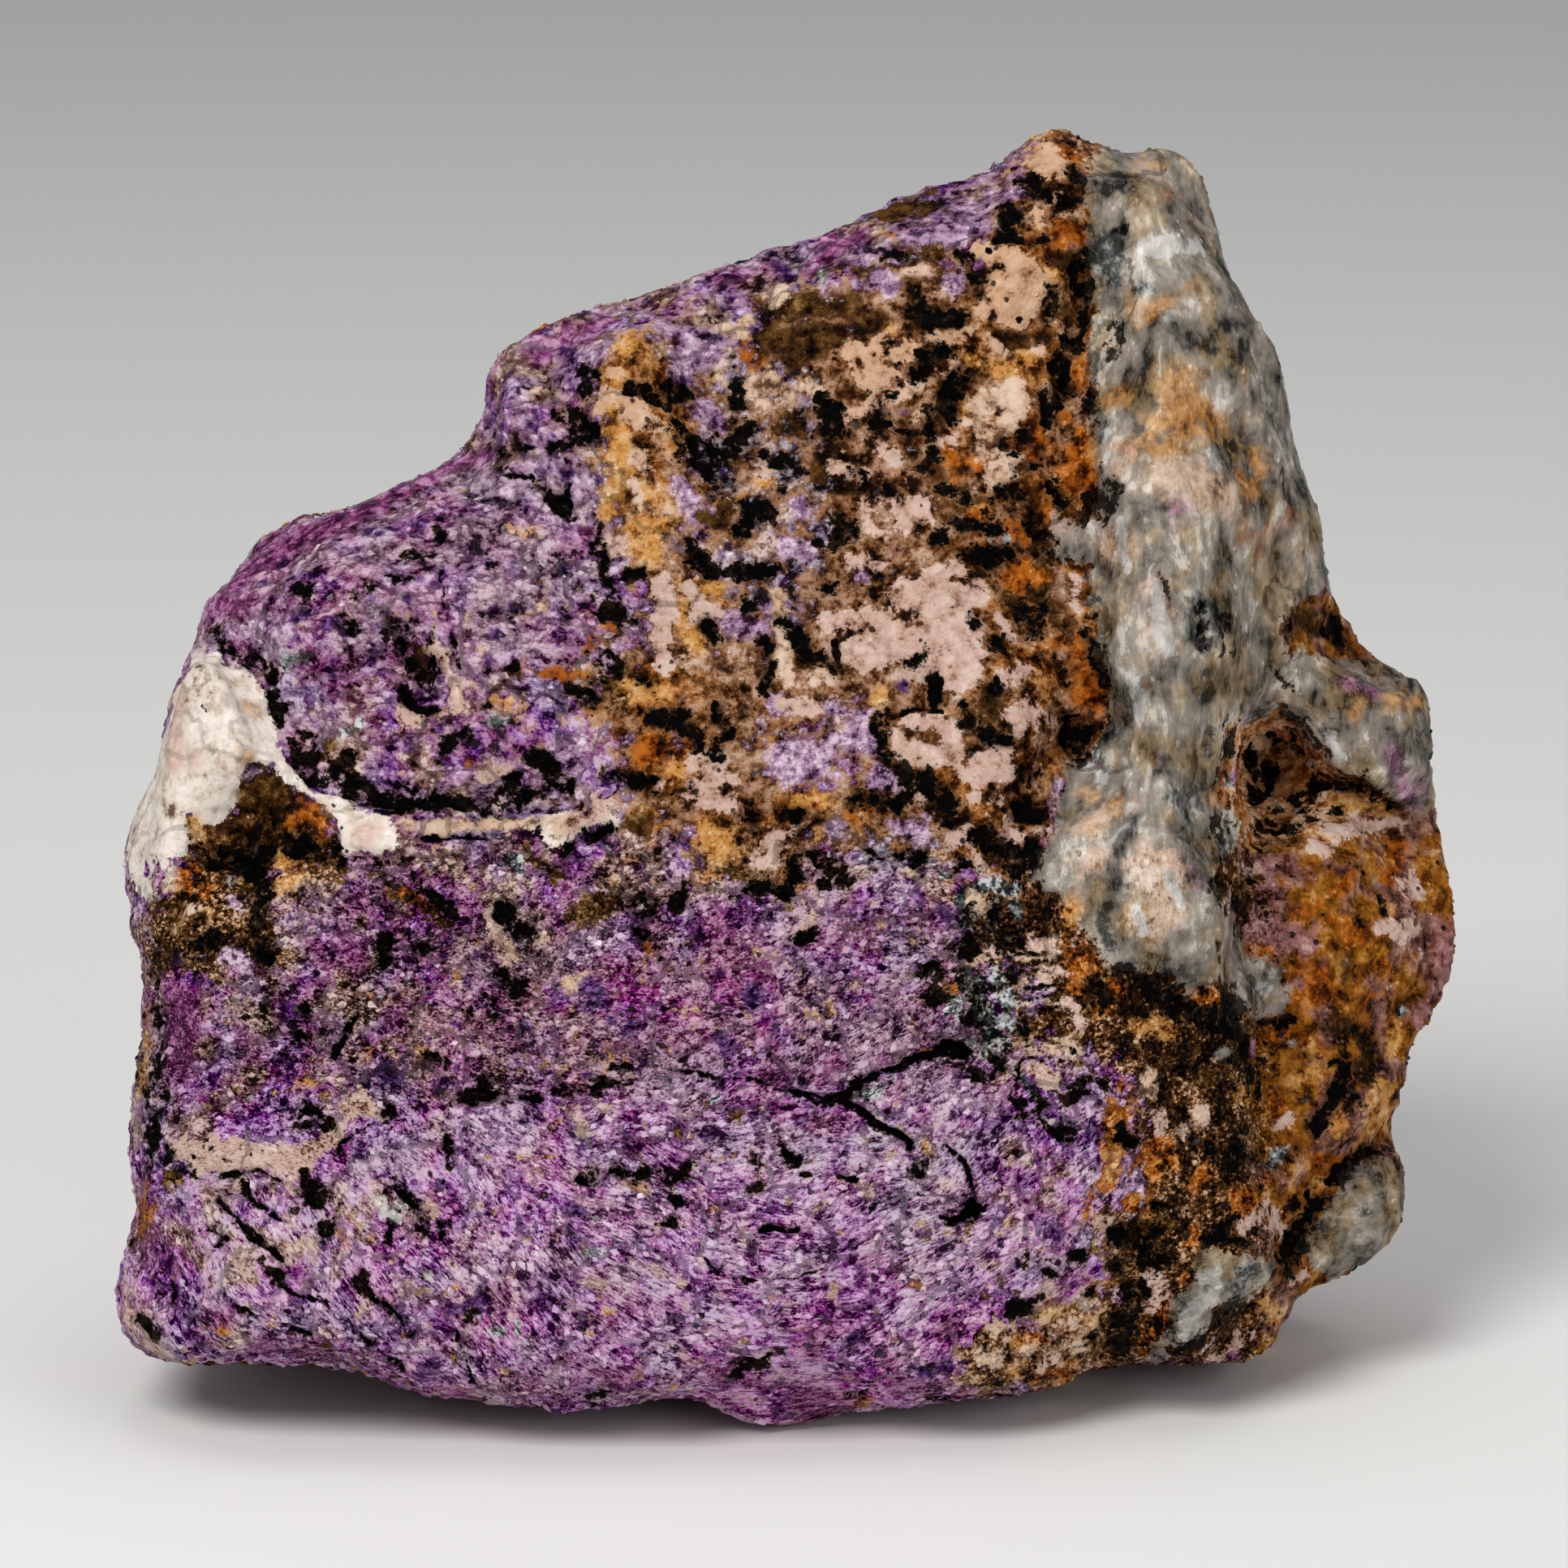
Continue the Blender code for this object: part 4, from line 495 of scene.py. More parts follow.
richSwells = [         # the same for how strong the purple is
    (226,1260,26,60,0.4), (1090,700,230,300,-0.2), (1000,560,220,260,-0.28), (850,1250,190,75,0.34),
    (1020,1700,150,40,0.4), (300,700,70,60,0.2), (400,775,60,50,0.16), (1120,1055,100,40,-0.4),
    (1170,1510,110,130,-0.28), (600,580,80,60,-0.2), (690,600,50,80,-0.25), (920,560,80,120,-0.35),
    (430,1500,70,60,-0.15), (1000,1440,230,70,-0.16), (600,1050,60,50,-0.25), (900,720,60,60,-0.25),
    (640,770,60,50,-0.16),
]

# Outlines of the larger areas, also in the photograph's pixels
quartzAreas = [
    (1350,190, 1333,238, 1342,262, 1338,290, 1345,312, 1346,400, 1342,440, 1350,470, 1345,500, 1345,540,
     1350,566, 1347,640, 1300,635, 1288,655, 1300,690, 1345,700, 1342,740, 1348,780, 1355,812, 1362,850,
     1365,900, 1350,934, 1325,945, 1312,962, 1300,990, 1300,1030, 1285,1050, 1270,1076, 1285,1100,
     1330,1110, 1333,1145, 1350,1152, 1360,1186, 1400,1196, 1440,1200, 1462,1226, 1490,1216, 1502,1205,
     1530,1236, 1545,1256, 1560,1259, 1585,1251, 1588,1215, 1580,1190, 1560,1178, 1545,1184, 1530,1150,
     1515,1116, 1505,1096, 1500,1060, 1530,1040, 1525,1005, 1500,990, 1500,960, 1515,930, 1515,900,
     1560,886, 1575,870, 1600,905, 1625,930, 1640,945, 1680,966, 1715,986, 1740,1003, 1775,1000, 1775,850,
     1700,815, 1640,812, 1590,800, 1582,775, 1592,742, 1630,735, 1690,650, 1640,440, 1560,150, 1440,150),
    (1478,1540, 1490,1534, 1515,1549, 1530,1544, 1545,1552, 1560,1547, 1574,1560, 1571,1581, 1560,1591,
     1545,1591, 1540,1606, 1520,1613, 1505,1613, 1495,1626, 1485,1641, 1470,1646, 1450,1656, 1435,1671,
     1420,1690, 1403,1682, 1415,1665, 1430,1650, 1440,1635, 1440,1615, 1445,1600, 1460,1590, 1468,1575,
     1470,1560),
    (1655,1450, 1662,1438, 1680,1428, 1700,1425, 1735,1440, 1735,1490, 1700,1560, 1640,1575, 1610,1550,
     1605,1535, 1610,1515, 1625,1500, 1640,1485, 1650,1466),
]
veinAreas = [
    (246,800, 262,806, 285,822, 305,826, 322,838, 330,852, 333,880, 340,905, 345,925, 356,945, 370,962,
     390,974, 412,978, 436,988, 462,1001, 480,1010, 492,1022, 494,1031, 485,1041, 475,1051, 450,1056,
     430,1055, 418,1050, 416,1030, 414,1015, 404,1000, 385,985, 365,975, 348,958, 335,942, 318,936, 304,943,
     297,956, 292,976, 285,1002, 270,1014, 248,1012, 240,1002, 228,1002, 228,1016, 236,1035, 228,1050,
     212,1060, 223,1078, 212,1082, 200,1070, 192,1062, 182,1076, 192,1096, 185,1112, 172,1096, 160,1060,
     158,1020, 170,985, 192,960, 200,930, 212,880, 220,845, 232,830, 240,805),
    (640,1014, 660,1003, 700,1001, 730,1003, 750,998, 769,1005, 763,1020, 740,1018, 720,1025, 705,1035,
     690,1044, 680,1046, 670,1030, 650,1026),
]
matrixAreas = [        # tan, brown and black minerals mixed, with no purple between them
    (735,440, 770,410, 800,400, 860,470, 905,450, 930,380, 1000,352, 1060,345, 1110,300, 1160,312, 1215,305,
     1225,225, 1262,205, 1270,130, 1400,150, 1410,300, 1400,640, 1400,780, 1410,880, 1390,936, 1300,962,
     1290,1040, 1280,1080, 1230,1086, 1150,1050, 1000,1050, 1000,1120, 960,1100, 855,1090, 850,1030,
     770,1020, 770,960, 725,880, 722,830, 790,800, 780,720, 742,640, 735,560),
    (1190,1195, 1180,1150, 1170,1088, 1250,1060, 1330,1060, 1370,1100, 1400,1140, 1440,1140, 1470,1150,
     1480,1120, 1460,1080, 1440,1040, 1440,980, 1470,880, 1540,730, 1700,690, 1860,800, 1870,1280,
     1800,1400, 1780,1600, 1640,1700, 1500,1740, 1390,1740, 1300,1740, 1240,1740, 1180,1712, 1200,1640,
     1280,1600, 1345,1570, 1345,1490, 1398,1480, 1400,1330, 1340,1305, 1250,1295, 1245,1200),
    (300,930, 340,930, 400,985, 424,1045, 440,1075, 395,1085, 345,1070, 330,1110, 345,1180, 300,1205,
     215,1200, 180,1190, 190,1120, 215,1070, 225,1040, 215,1000, 270,1000, 290,960),
]


# The rock: its net, and the tools that work on it
rockShape = {
    "net": 0.78,             # the first even net, in millimetres; the side in the photograph gets half of it
    "easeRounds": 5,
    "grainSize": 5.0,        # crystals that share one direction
    "turn": 44.0,            # how far purple crystals turn from each other, in degrees; half of it low down
    "slide": 60.0, "sidestep": 40.0,        # how far their patterns are shifted against each other
    "bend": 1.3, "bendSize": 2.6,           # how far and over what length their borders wander
    "bandAngle": 92, "bandLength": 2.6, "bandDepth": 1.6,
    "matrixAngle": 20, "matrixLength": 1.2, "otherDepth": 1.2,
    "purpleLength": 1.5, "longerLow": 0.8, "longerFoot": 2.6, "finerLow": 1.8,
    # heights and depths of the relief, in millimetres
    "purple": {"treads": 0.30, "threads": 0.15, "crumbs": 0.11},
    "quartz": {"slabs": 0.30, "threads": 0.06, "crumbs": 0.04},
    "matrix": {"lumps": 0.34, "crumbs": 0.16}, "vein": {"lumps": 0.09, "crumbs": 0.03},
    "pitDepth": 0.4, "crackDepth": 0.45, "veinHeight": 0.16, "patchHeight": 0.10, "brownDepth": 0.16,
    # how much each mineral counts, and the reach over which it sets in
    "calmed": {"tan": (0.6, -0.1, 0.3), "cream": (0.5, -0.1, 0.3), "magenta": (0.6, 0.0, 0.5)},
    "mostCalm": 0.75,
    "raised": {"tan": (1, -0.1, 0.2), "cream": (1, -0.1, 0.2), "ochre": (0.5, -0.1, 0.2),
               "lilac": (0.5, -0.1, 0.3)},
    "grainless": {"tan": (1, -0.3, 0.0), "cream": (1, -0.3, 0.0), "magenta": (0.7, -0.2, 0.2)},
    "footHeight": 1.2,       # the relief dies out over this height, for a flat foot
}
nearby = 2.0        # reaches are kept to this many millimetres


def soft(value, low, high):        # 0 at low and 1 at high, eased between; low may be the larger
    share = np.clip((value - low) / (high - low), 0, 1)
    return share * share * (3 - 2 * share)


def noiseOver(points, size, seed, octaves=1):        # about -1 to 1, lumps of that size
    spots = points / size + seed * np.array([17.31, 9.17, 5.73])
    if octaves == 1:
        return np.array([noise.noise(p) for p in spots.tolist()])
    return np.array([noise.fractal(p, 0.9, 2.1, octaves) for p in spots.tolist()])


def alongSide(x, y, a, b):        # how much of the way from a to b the nearest point is, and how far off
    way = b[:2] - a[:2]
    share = np.clip(((x - a[0]) * way[0] + (y - a[1]) * way[1]) / max(way @ way, 1e-6), 0, 1)
    return share, np.hypot(x - a[0] - share * way[0], y - a[1] - share * way[1])


def strokeReach(px, py, strokes):        # millimetres inside the nearest stroke, negative outside
    far = nearby / photoView["pixel"]
    reach = np.full(len(px), -far)
    for stroke in strokes:
        spots = np.array(stroke, float).reshape(-1, 3)
        low, high = (spots[:, :2] - spots[:, 2:]).min(0) - far, (spots[:, :2] + spots[:, 2:]).max(0) + far
        near = np.flatnonzero((px > low[0]) & (px < high[0]) & (py > low[1]) & (py < high[1]))
        if not len(near):
            continue
        x, y = px[near], py[near]
        best = spots[0, 2] - np.hypot(x - spots[0, 0], y - spots[0, 1])
        for a, b in zip(spots[:-1], spots[1:]):
            share, away = alongSide(x, y, a, b)
            best = np.maximum(best, a[2] + share * (b[2] - a[2]) - away)
        reach[near] = np.maximum(reach[near], best)
    return np.clip(reach * photoView["pixel"], -nearby, nearby)


def areaReach(px, py, areas):        # the same for closed outlines
    reach = np.full(len(px), -np.inf)
    for area in areas:
        corners = np.array(area, float).reshape(-1, 2)
        inside = np.zeros(len(px), bool)
        away = np.full(len(px), np.inf)
        for a, b in zip(corners, np.roll(corners, -1, axis=0)):
            away = np.minimum(away, alongSide(px, py, a, b)[1])
            if a[1] != b[1]:
                crossing = (py >= min(a[1], b[1])) & (py < max(a[1], b[1]))
                inside ^= crossing & (px < a[0] + (py - a[1]) * (b[0] - a[0]) / (b[1] - a[1]))
        reach = np.maximum(reach, np.where(inside, away, -away))
    return np.clip(reach * photoView["pixel"], -nearby, nearby)


def pointsOf(mesh):        # millimetres
    flat = np.empty(len(mesh.vertices) * 3, np.float32)
    mesh.vertices.foreach_get("co", flat)
    return flat.reshape(-1, 3).astype(float) / mm


def normalsOf(mesh):
    flat = np.empty(len(mesh.vertices) * 3, np.float32)
    mesh.vertices.foreach_get("normal", flat)
    return flat.reshape(-1, 3).astype(float)


def edgesOf(mesh):
    flat = np.empty(len(mesh.edges) * 2, np.int32)
    mesh.edges.foreach_get("vertices", flat)
    return flat.reshape(-1, 2)


def placePoints(mesh, points):
    mesh.vertices.foreach_set("co", (points * mm).astype(np.float32).ravel())
    mesh.update()


def neighbourMean(values, edges, rounds=1):
    count = np.bincount(edges.ravel(), minlength=len(values))
    columns = values.reshape(len(values), -1)
    for _ in range(rounds):
        total = np.empty_like(columns)
        for k in range(columns.shape[1]):
            total[:, k] = (np.bincount(edges[:, 0], columns[edges[:, 1], k], len(values))
                           + np.bincount(edges[:, 1], columns[edges[:, 0], k], len(values)))
        columns = total / np.maximum(count, 1)[:, None]
    return columns.reshape(values.shape)


def ease(points, edges, rounds):        # takes the facets off without shrinking the rock
    for _ in range(rounds):
        for share in (0.55, -0.57):
            points = points + share * (neighbourMean(points, edges) - points)
    return points


def inScene(name, data):
    made = bpy.data.objects.new(name, data)
    bpy.context.scene.collection.objects.link(made)
    return made


def shapeOf(holder):        # the mesh that the holder's modifiers make of its own; the holder goes
    made = bpy.data.meshes.new_from_object(holder.evaluated_get(bpy.context.evaluated_depsgraph_get()))
    bpy.data.objects.remove(holder)
    return made


def rework(mesh, change):
    work = bmesh.new()
    work.from_mesh(mesh)
    change(work)
    work.to_mesh(mesh)
    work.free()


def inTriangles(work):
    bmesh.ops.triangulate(work, faces=work.faces)


def evenCopy():        # the CAD rock's shape on an even net
    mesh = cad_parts["rock"].data.copy()
    rework(mesh, lambda work: bmesh.ops.remove_doubles(work, verts=work.verts, dist=1e-6))
    holder = inScene("evenCopy", mesh)
    net = holder.modifiers.new("net", "REMESH")
    net.mode = "VOXEL"
    net.voxel_size = rockShape["net"] * mm
    made = shapeOf(holder)
    bpy.data.meshes.remove(mesh)
    return made


def refine(mesh, chosen):        # halves every edge whose two ends are chosen
    def halve(work):
        edges = [e for e in work.edges if chosen[e.verts[0].index] and chosen[e.verts[1].index]]
        bmesh.ops.subdivide_edges(work, edges=edges, cuts=1, use_grid_fill=True)
        bmesh.ops.triangulate(work, faces=[f for f in work.faces if len(f.verts) > 4])

    rework(mesh, halve)


def fibreAngle(px, py):        # the way the fibres run in the photograph, in degrees up from level
    foot = soft(py, 1380, 1480)
    bowl = np.clip((px - 970) / 200 * 36, -46, 32) * foot + 22 * soft(px, 760, 900) * (1 - foot)
    upper = soft(py, 1120, 1020)
    return bowl * (1 - upper) - 20 * upper


def crystals(points):        # each point's place along, across and through its crystal, and the way it runs
    s = rockShape
    bends = np.stack([noiseOver(points, s["bendSize"], seed) for seed in (3, 4, 5)], axis=1)
    bent = points + s["bend"] * bends
    hearts = np.array([noise.voronoi(p)[1][0][:] for p in (bent / s["grainSize"]).tolist()])
    chance = np.modf(np.abs(np.sin(hearts @ np.array([12.99, 78.23, 37.72]))) * 43758.5)[0]
    second = np.modf(chance * 917.3)[0]
    x, y, _ = pixelOf(hearts * s["grainSize"])
    band = areaReach(x, y, quartzAreas[:1]) > -0.6
    matrix = areaReach(x, y, matrixAreas) > 0
    loose = ~(band | matrix)        # only the purple crystals turn and shift against each other

    def perStone(inBand, inMatrix, inPurple):
        return np.where(band, inBand, np.where(matrix, inMatrix, inPurple))

    turn = s["turn"] * (1 - 0.5 * soft(y, 1380, 1480)) * (chance - 0.5)
    angle = np.radians(perStone(s["bandAngle"], s["matrixAngle"], fibreAngle(x, y) + turn))
    across, up, out = faceFrame(points)
    along = across * np.cos(angle) + up * np.sin(angle)
    beside = up * np.cos(angle) - across * np.sin(angle)
    low = s["longerLow"] * soft(x, 500, 760) * soft(y, 1100, 1250)
    longer = perStone(s["bandLength"], s["matrixLength"],
                      s["purpleLength"] + low + s["longerFoot"] * soft(y, 1380, 1470))
    finer = np.where(band | matrix | (y < 1060), 1.0, s["finerLow"])[:, None]
    fibres = np.stack([along / longer + s["slide"] * chance * loose, beside + s["sidestep"] * second * loose,
                       out / np.where(band, s["bandDepth"], s["otherDepth"])], axis=1)
    way = np.stack([np.cos(angle), np.sin(angle) * leanSin, np.sin(angle) * leanCos], axis=1)
    return fibres * finer, way


def stepped(value, count):        # breaks a smooth swell into flat treads
    high = value * count
    low = np.floor(high)
    return (low + soft(high - low, 0.3, 0.62)) / count


# Each mineral's strokes, and its loose patches on the hidden sides: size, seed, least, steepness
rockPatches = {
    "tan": (tanMarks, 11, 21, 0.60, 4), "brown": (brownMarks, 10, 22, 0.40, 4),
    "rust": (rustMarks, 8, 23, 0.52, 4), "ochre": (ochreMarks, 6, 24, 0.62, 4),
    "lilac": (lilacMarks, 9, 25, 0.10, 4), "magenta": (magentaMarks, 7, 26, 0.24, 4),
    "violet": (violetMarks, 2.5, 27, 0.46, 3), "grey": (greyMarks, 4, 28, 0.90, 3),
    "teal": (tealMarks, 4, 29, 0.80, 3), "cream": (creamAndRimHighlightMarks, 4, 30, 0.80, 3),
    "black": (blackAndShadowMarks, 4, 31, 0.54, 3), "rose": (roseMarks, 7, 35, 0.60, 3),
    "white": (whiteAndGlintMarks, 4, 36, 0.95, 3),
}
# Parts of the photograph that fade in from the first of two pixels to the second, across and then down
rockParts = {
    "pocket": ([(1485, 1520), (1680, 1620)], [(870, 900), (1060, 1010)]),
    "lobe": ([(1525, 1575)], []), "lobeEdge": ([(1450, 1490)], []),
    "corner": ([(1215, 1250), (1400, 1320)], [(1480, 1540)]),
    "leftLobe": ([(240, 300), (760, 680)], [(560, 600), (860, 800)]),
    "leftHollow": ([(280, 320), (780, 740)], [(590, 620), (820, 790)]),
    "topLeft": ([(1150, 850)], [(660, 540)]), "topMiddle": ([(820, 900), (1260, 1180)], [(660, 600)]),
    "topRight": ([(820, 900)], [(1040, 960)]), "upper": ([], [(1080, 960)]),
    "belowLedge": ([], [(1040, 1140)]),
    "midLeft": ([(880, 700)], [(1020, 1060), (1360, 1320)]), "footRight": ([(1000, 1100)], [(1360, 1420)]),
    "pure": ([(430, 560), (1260, 1180)], [(1090, 1160)]), "pureMost": ([(700, 820)], []),
    "brownLow": ([(1150, 1200)], [(1095, 1150)]), "brownRight": ([(1400, 1440)], [(1150, 1095)]),
    "brownLeft": ([(450, 420)], []),
    "amberRight": ([(1130, 1260)], []), "amberLeft": ([(900, 830)], []), "amberLow": ([], [(850, 930)]),
    "crispLow": ([(1600, 1540)], [(960, 1140)]), "crispBelowTop": ([], [(520, 740)]),
}
rockOvals = {        # middle, half width and half height
    "paleLeft": (370, 1520, 230, 150), "duskyTop": (935, 620, 120, 240), "duskyLow": (1010, 915, 110, 80),
}
rockTones = {        # what each part adds to a tone, on every side and then in front only
    "warm": ({"topLeft": 0.12, "midLeft": 0.20, "lower": -0.09, "swell": 0.10, "hidden": 0.06},
             {"leftLobe": 0.06, "paleLeft": 0.16, "topRight": 0.12, "footRight": 0.08}),
    # in bright, the pocket's lift is painted light against the shadow in that hollow
    "bright": ({"hidden": 0.10, "midLeft": -0.05, "swell": 0.03},
               {"pocket": 0.34, "paleLeft": 0.12, "topMiddle": -0.09, "belowLedge": -0.035, "light": 1}),
}
rockOutlines = {"sway": 5.0, "hiddenSway": 22.0, "fray": 2.5}        # how far outlines wander, in pixels


def inOval(px, py, x, y, wide, high):        # 1 in the middle, 0 at the edge, negative outside
    return 1 - np.hypot((px - x) / wide, (py - y) / high)


def swellSum(px, py, swells):
    return sum(amount * soft(0.25 + inOval(px, py, *oval), 0, 1) for *oval, amount in swells)


def rockFields(points, normals):        # what lies where: one number or more for each point
    px, py, _ = pixelOf(points)
    front = soft(normals @ towardsEye, 0.02, 0.30)
    hidden = 1 - front
    sway, fray = rockOutlines["sway"] + rockOutlines["hiddenSway"] * hidden, rockOutlines["fray"]
    bentX = px + sway * noiseOver(points, 1.5, 11, 2) + fray * noiseOver(points, 0.6, 12)
    bentY = py + sway * noiseOver(points, 1.5, 13, 2) + fray * noiseOver(points, 0.6, 14)

    def onBothSides(seen, size, seed, least, steep):        # marks in front, loose patches elsewhere
        loose = (noiseOver(points, size, seed, 3) - least) * steep
        return seen * front + np.clip(loose, -nearby, nearby) * hidden

    part = {name: np.ones(len(px)) for name in rockParts}
    for name, share in part.items():
        for value, sides in zip((px, py), rockParts[name]):
            for side in sides:
                share *= soft(value, *side)
    fields = {"front": front, "lobe": part["lobe"], "pale": part["upper"] * front}
    fields["lower"] = soft(py + 14 * noiseOver(points, 3, 33), 1335, 1375) * front + 0.5 * hidden
    for name, (strokes, *loose) in rockPatches.items():
        fields[name + "Reach"] = onBothSides(strokeReach(bentX, bentY, strokes), *loose)
    cracks = strokeReach((px + bentX) / 2, (py + bentY) / 2, crackLines)
    fields["crackReach"] = onBothSides(cracks, 9, 32, 9.0, 1) - 0.02
    fields["dotReach"] = np.where(front > 0, strokeReach(px, py, darkDots), -nearby)
    fields["quartzReach"] = areaReach(bentX, bentY, quartzAreas)
    fields["veinReach"] = areaReach(bentX, bentY, veinAreas)

    pocket, leftLobe, corner = (part[name] * front for name in ("pocket", "leftLobe", "corner"))
    dusky = np.maximum(*(inOval(bentX, bentY, *rockOvals[name]) for name in ("duskyTop", "duskyLow")))
    matrix = areaReach(bentX, bentY, matrixAreas) * (1 - 0.9 * soft(dusky, 0.0, 0.35))
    matrix -= 0.6 * corner + 0.5 * hidden
    fields["matrixReach"] = np.maximum(matrix, 1.8 * part["lobeEdge"] * front - 1)
    black = np.minimum(fields["blackReach"], 0.18)        # broken up even in the middle
    fields["blackReach"] = black - 0.06 * part["leftHollow"] - 0.05 * leftLobe
    fields["pocket"] = pocket
    low = np.clip(part["brownLow"] + part["brownRight"] + part["brownLeft"], 0, 1)
    fields["low"] = low * (1 - pocket) * (1 - 0.6 * corner)
    fields["amber"] = 0.1 + 0.75 * np.clip(part["amberRight"] + part["amberLeft"] + part["amberLow"], 0, 1)
    fields["peach"] = soft(py + 0.25 * (px - 1000), 620, 430)
    fields["rich"] = swellSum(px, py, richSwells) * front
    fields["crisp"] = 0.2 * hidden + (part["crispLow"] + part["crispBelowTop"] - 1) * front
    fields["clean"] = np.maximum(part["pure"] * (0.6 + 0.4 * part["pureMost"]) * front, leftLobe)
    part.update(hidden=hidden, lower=fields["lower"], light=swellSum(px, py, lightSwells))
    part["swell"] = noiseOver(points, 6, 34, 2)
    part["paleLeft"] = soft(inOval(px, py, *rockOvals["paleLeft"]), 0, 0.5)
    for tone, (everywhere, inFront) in rockTones.items():
        fields[tone] = (sum(amount * part[name] for name, amount in everywhere.items())
                        + front * sum(amount * part[name] for name, amount in inFront.items()))
    return fields


def inside(fields, mineral, low, high):        # 1 well inside that mineral, 0 well outside
    return soft(fields[mineral + "Reach"], low, high)


def insideSum(fields, shares):
    return sum(share * inside(fields, mineral, *edges) for mineral, (share, *edges) in shares.items())


def carve(points, fields, fibres):        # the height that each point gains, in millimetres
    s = rockShape
    patterns = {
        "crumbs": noiseOver(points, 0.75, 41, 2), "lumps": noiseOver(points, 1.7, 42, 3),
        "threads": noiseOver(fibres, 0.9, 43, 2), "treads": stepped(noiseOver(fibres, 1.9, 44), 3.2),
        "slabs": stepped(noiseOver(fibres, 1.25, 45), 3.4),
    }

    def roughness(stone, base=0):
        return sum((amount * patterns[name] for name, amount in s[stone].items()), base)

    quartz = inside(fields, "quartz", -0.2, 0.2)
    matrix = inside(fields, "matrix", -0.4, 0.4) * (1 - quartz)
    vein = inside(fields, "vein", -0.1, 0.25)
    height = (1 - quartz) * (1 - matrix) * roughness("purple")
    height += quartz * roughness("quartz")
    height += matrix * roughness("matrix")
    height *= (1 - np.clip(insideSum(fields, s["calmed"]), 0, s["mostCalm"])) * (1 - vein)
    height += vein * roughness("vein", s["veinHeight"])
    brown = inside(fields, "brown", -0.1, 0.3)
    height += s["patchHeight"] * insideSum(fields, s["raised"]) - s["brownDepth"] * brown
    pit = soft(fields["blackReach"] + 0.45 * patterns["crumbs"], -0.15, 0.5)
    height -= 0.3 * pit * height + s["pitDepth"] * pit
    return height - s["crackDepth"] * inside(fields, "crack", -0.12, 0.16)


def fineNet():        # the rock's net: finer in front, finest along cracks and small black marks
    mesh = evenCopy()
    points, edges = pointsOf(mesh), edgesOf(mesh)
    placePoints(mesh, ease(points, edges, rockShape["easeRounds"]))
    refine(mesh, normalsOf(mesh) @ towardsEye > 0.12)
    px, py, _ = pixelOf(pointsOf(mesh))
    small = [stroke for stroke in blackAndShadowMarks if max(stroke[2::3]) <= 5]
    close = strokeReach(px, py, crackLines + small) > -0.22
    refine(mesh, close & (normalsOf(mesh) @ towardsEye > 0.2))
    print("stage: rock net with", len(mesh.polygons), "faces")
    return mesh


def grainWeights(fields, points):        # how thick each kind of small grain lies, 0 to 1 and a little more
    bare = (1 - inside(fields, "black", -0.1, 0.1)) * (1 - 0.85 * inside(fields, "crack", -0.35, -0.1))
    bare *= soft(points[:, 2], 0.3, 1.0)        # none on the foot
    seen = 0.35 + 0.65 * fields["front"]
    glassy = inside(fields, "quartz", -0.1, 0.2)
    gritty = inside(fields, "matrix", -0.2, 0.3) * (1 - glassy)
    onStone = bare * (1 - inside(fields, "vein", -0.4, -0.1)) * seen
    smooth = insideSum(fields, rockShape["grainless"])
    flaky = (1 - glassy) * (1 - gritty) * onStone * (1 - smooth)
    gritty = gritty * onStone * (1 - 0.9 * smooth) * (1 - 0.6 * fields["lobe"])
    return {
        "flaky": np.clip(flaky, 0, 1) * (1 + 0.3 * fields["crisp"]),
        "gritty": np.clip(gritty, 0, 1) * (1 + 1.5 * fields["pocket"]),
        "glassy": glassy * bare * (0.4 + 0.6 * fields["front"]),
    }


def makeRock():
    mesh = fineNet()
    points, edges = pointsOf(mesh), edgesOf(mesh)
    foot = points[:, 2] < 0.05
    points = ease(points, edges, 1)
    placePoints(mesh, points)
    normals = neighbourMean(normalsOf(mesh), edges, 2)
    normals /= np.linalg.norm(normals, axis=1)[:, None]
    fields = rockFields(points, normals)
    fibres, way = crystals(points)
    height = carve(points, fields, fibres)
    moved = points + normals * (height * soft(points[:, 2], 0.0, rockShape["footHeight"]))[:, None]
    moved[:, 2] = np.where(foot, 0.0, np.maximum(moved[:, 2], 0.0))
    placePoints(mesh, moved)
    rework(mesh, inTriangles)
    # the relief also darkens hollows and lightens raised spots in the stone's colour: painted shade and
    # painted light
    fields["relief"] = np.clip((height - neighbourMean(height, edgesOf(mesh), 14)) / 0.35, -1.5, 1.5)
    fields.update(grainWeights(fields, points))
    for name, values in fields.items():
        mesh.attributes.new(name, "FLOAT", "POINT").data.foreach_set("value", values.astype(np.float32))
    for name, values in (("fibres", fibres), ("way", way)):
        kept = mesh.attributes.new(name, "FLOAT_VECTOR", "POINT")
        kept.data.foreach_set("vector", values.astype(np.float32).ravel())
    mesh.polygons.foreach_set("use_smooth", np.ones(len(mesh.polygons), bool))
    mesh.name = "purpuriteRock"
    mesh.materials.clear()
    mesh.polygons.foreach_set("material_index", np.zeros(len(mesh.polygons), np.int32))
    print("stage: rock carved,", len(mesh.polygons), "faces")
    return inScene("purpuriteRock", mesh)


# Materials
def fromScreen(red, green, blue):        # a colour read off the screen, 0 to 255, made linear
    def linear(share):
        return share / 12.92 if share <= 0.04045 else ((share + 0.055) / 1.055) ** 2.4

    return linear(red / 255), linear(green / 255), linear(blue / 255), 1.0


def feed(tree, socket, value):        # links the value if it is a socket, and sets it otherwise
    if isinstance(value, bpy.types.NodeSocket):
        tree.links.new(value, socket)
    else:
        socket.default_value = value


def put(tree, kind, **values):        # adds a node, and feeds its inputs by name
    node = tree.nodes.new(kind)
    for name, value in values.items():
        feed(tree, node.inputs[name], value)
    return node


def useGroup(tree, group, **values):
    node = tree.nodes.new("ShaderNodeGroup")
    node.node_tree = group
    for name, value in values.items():
        feed(tree, node.inputs[name], value)
    return node


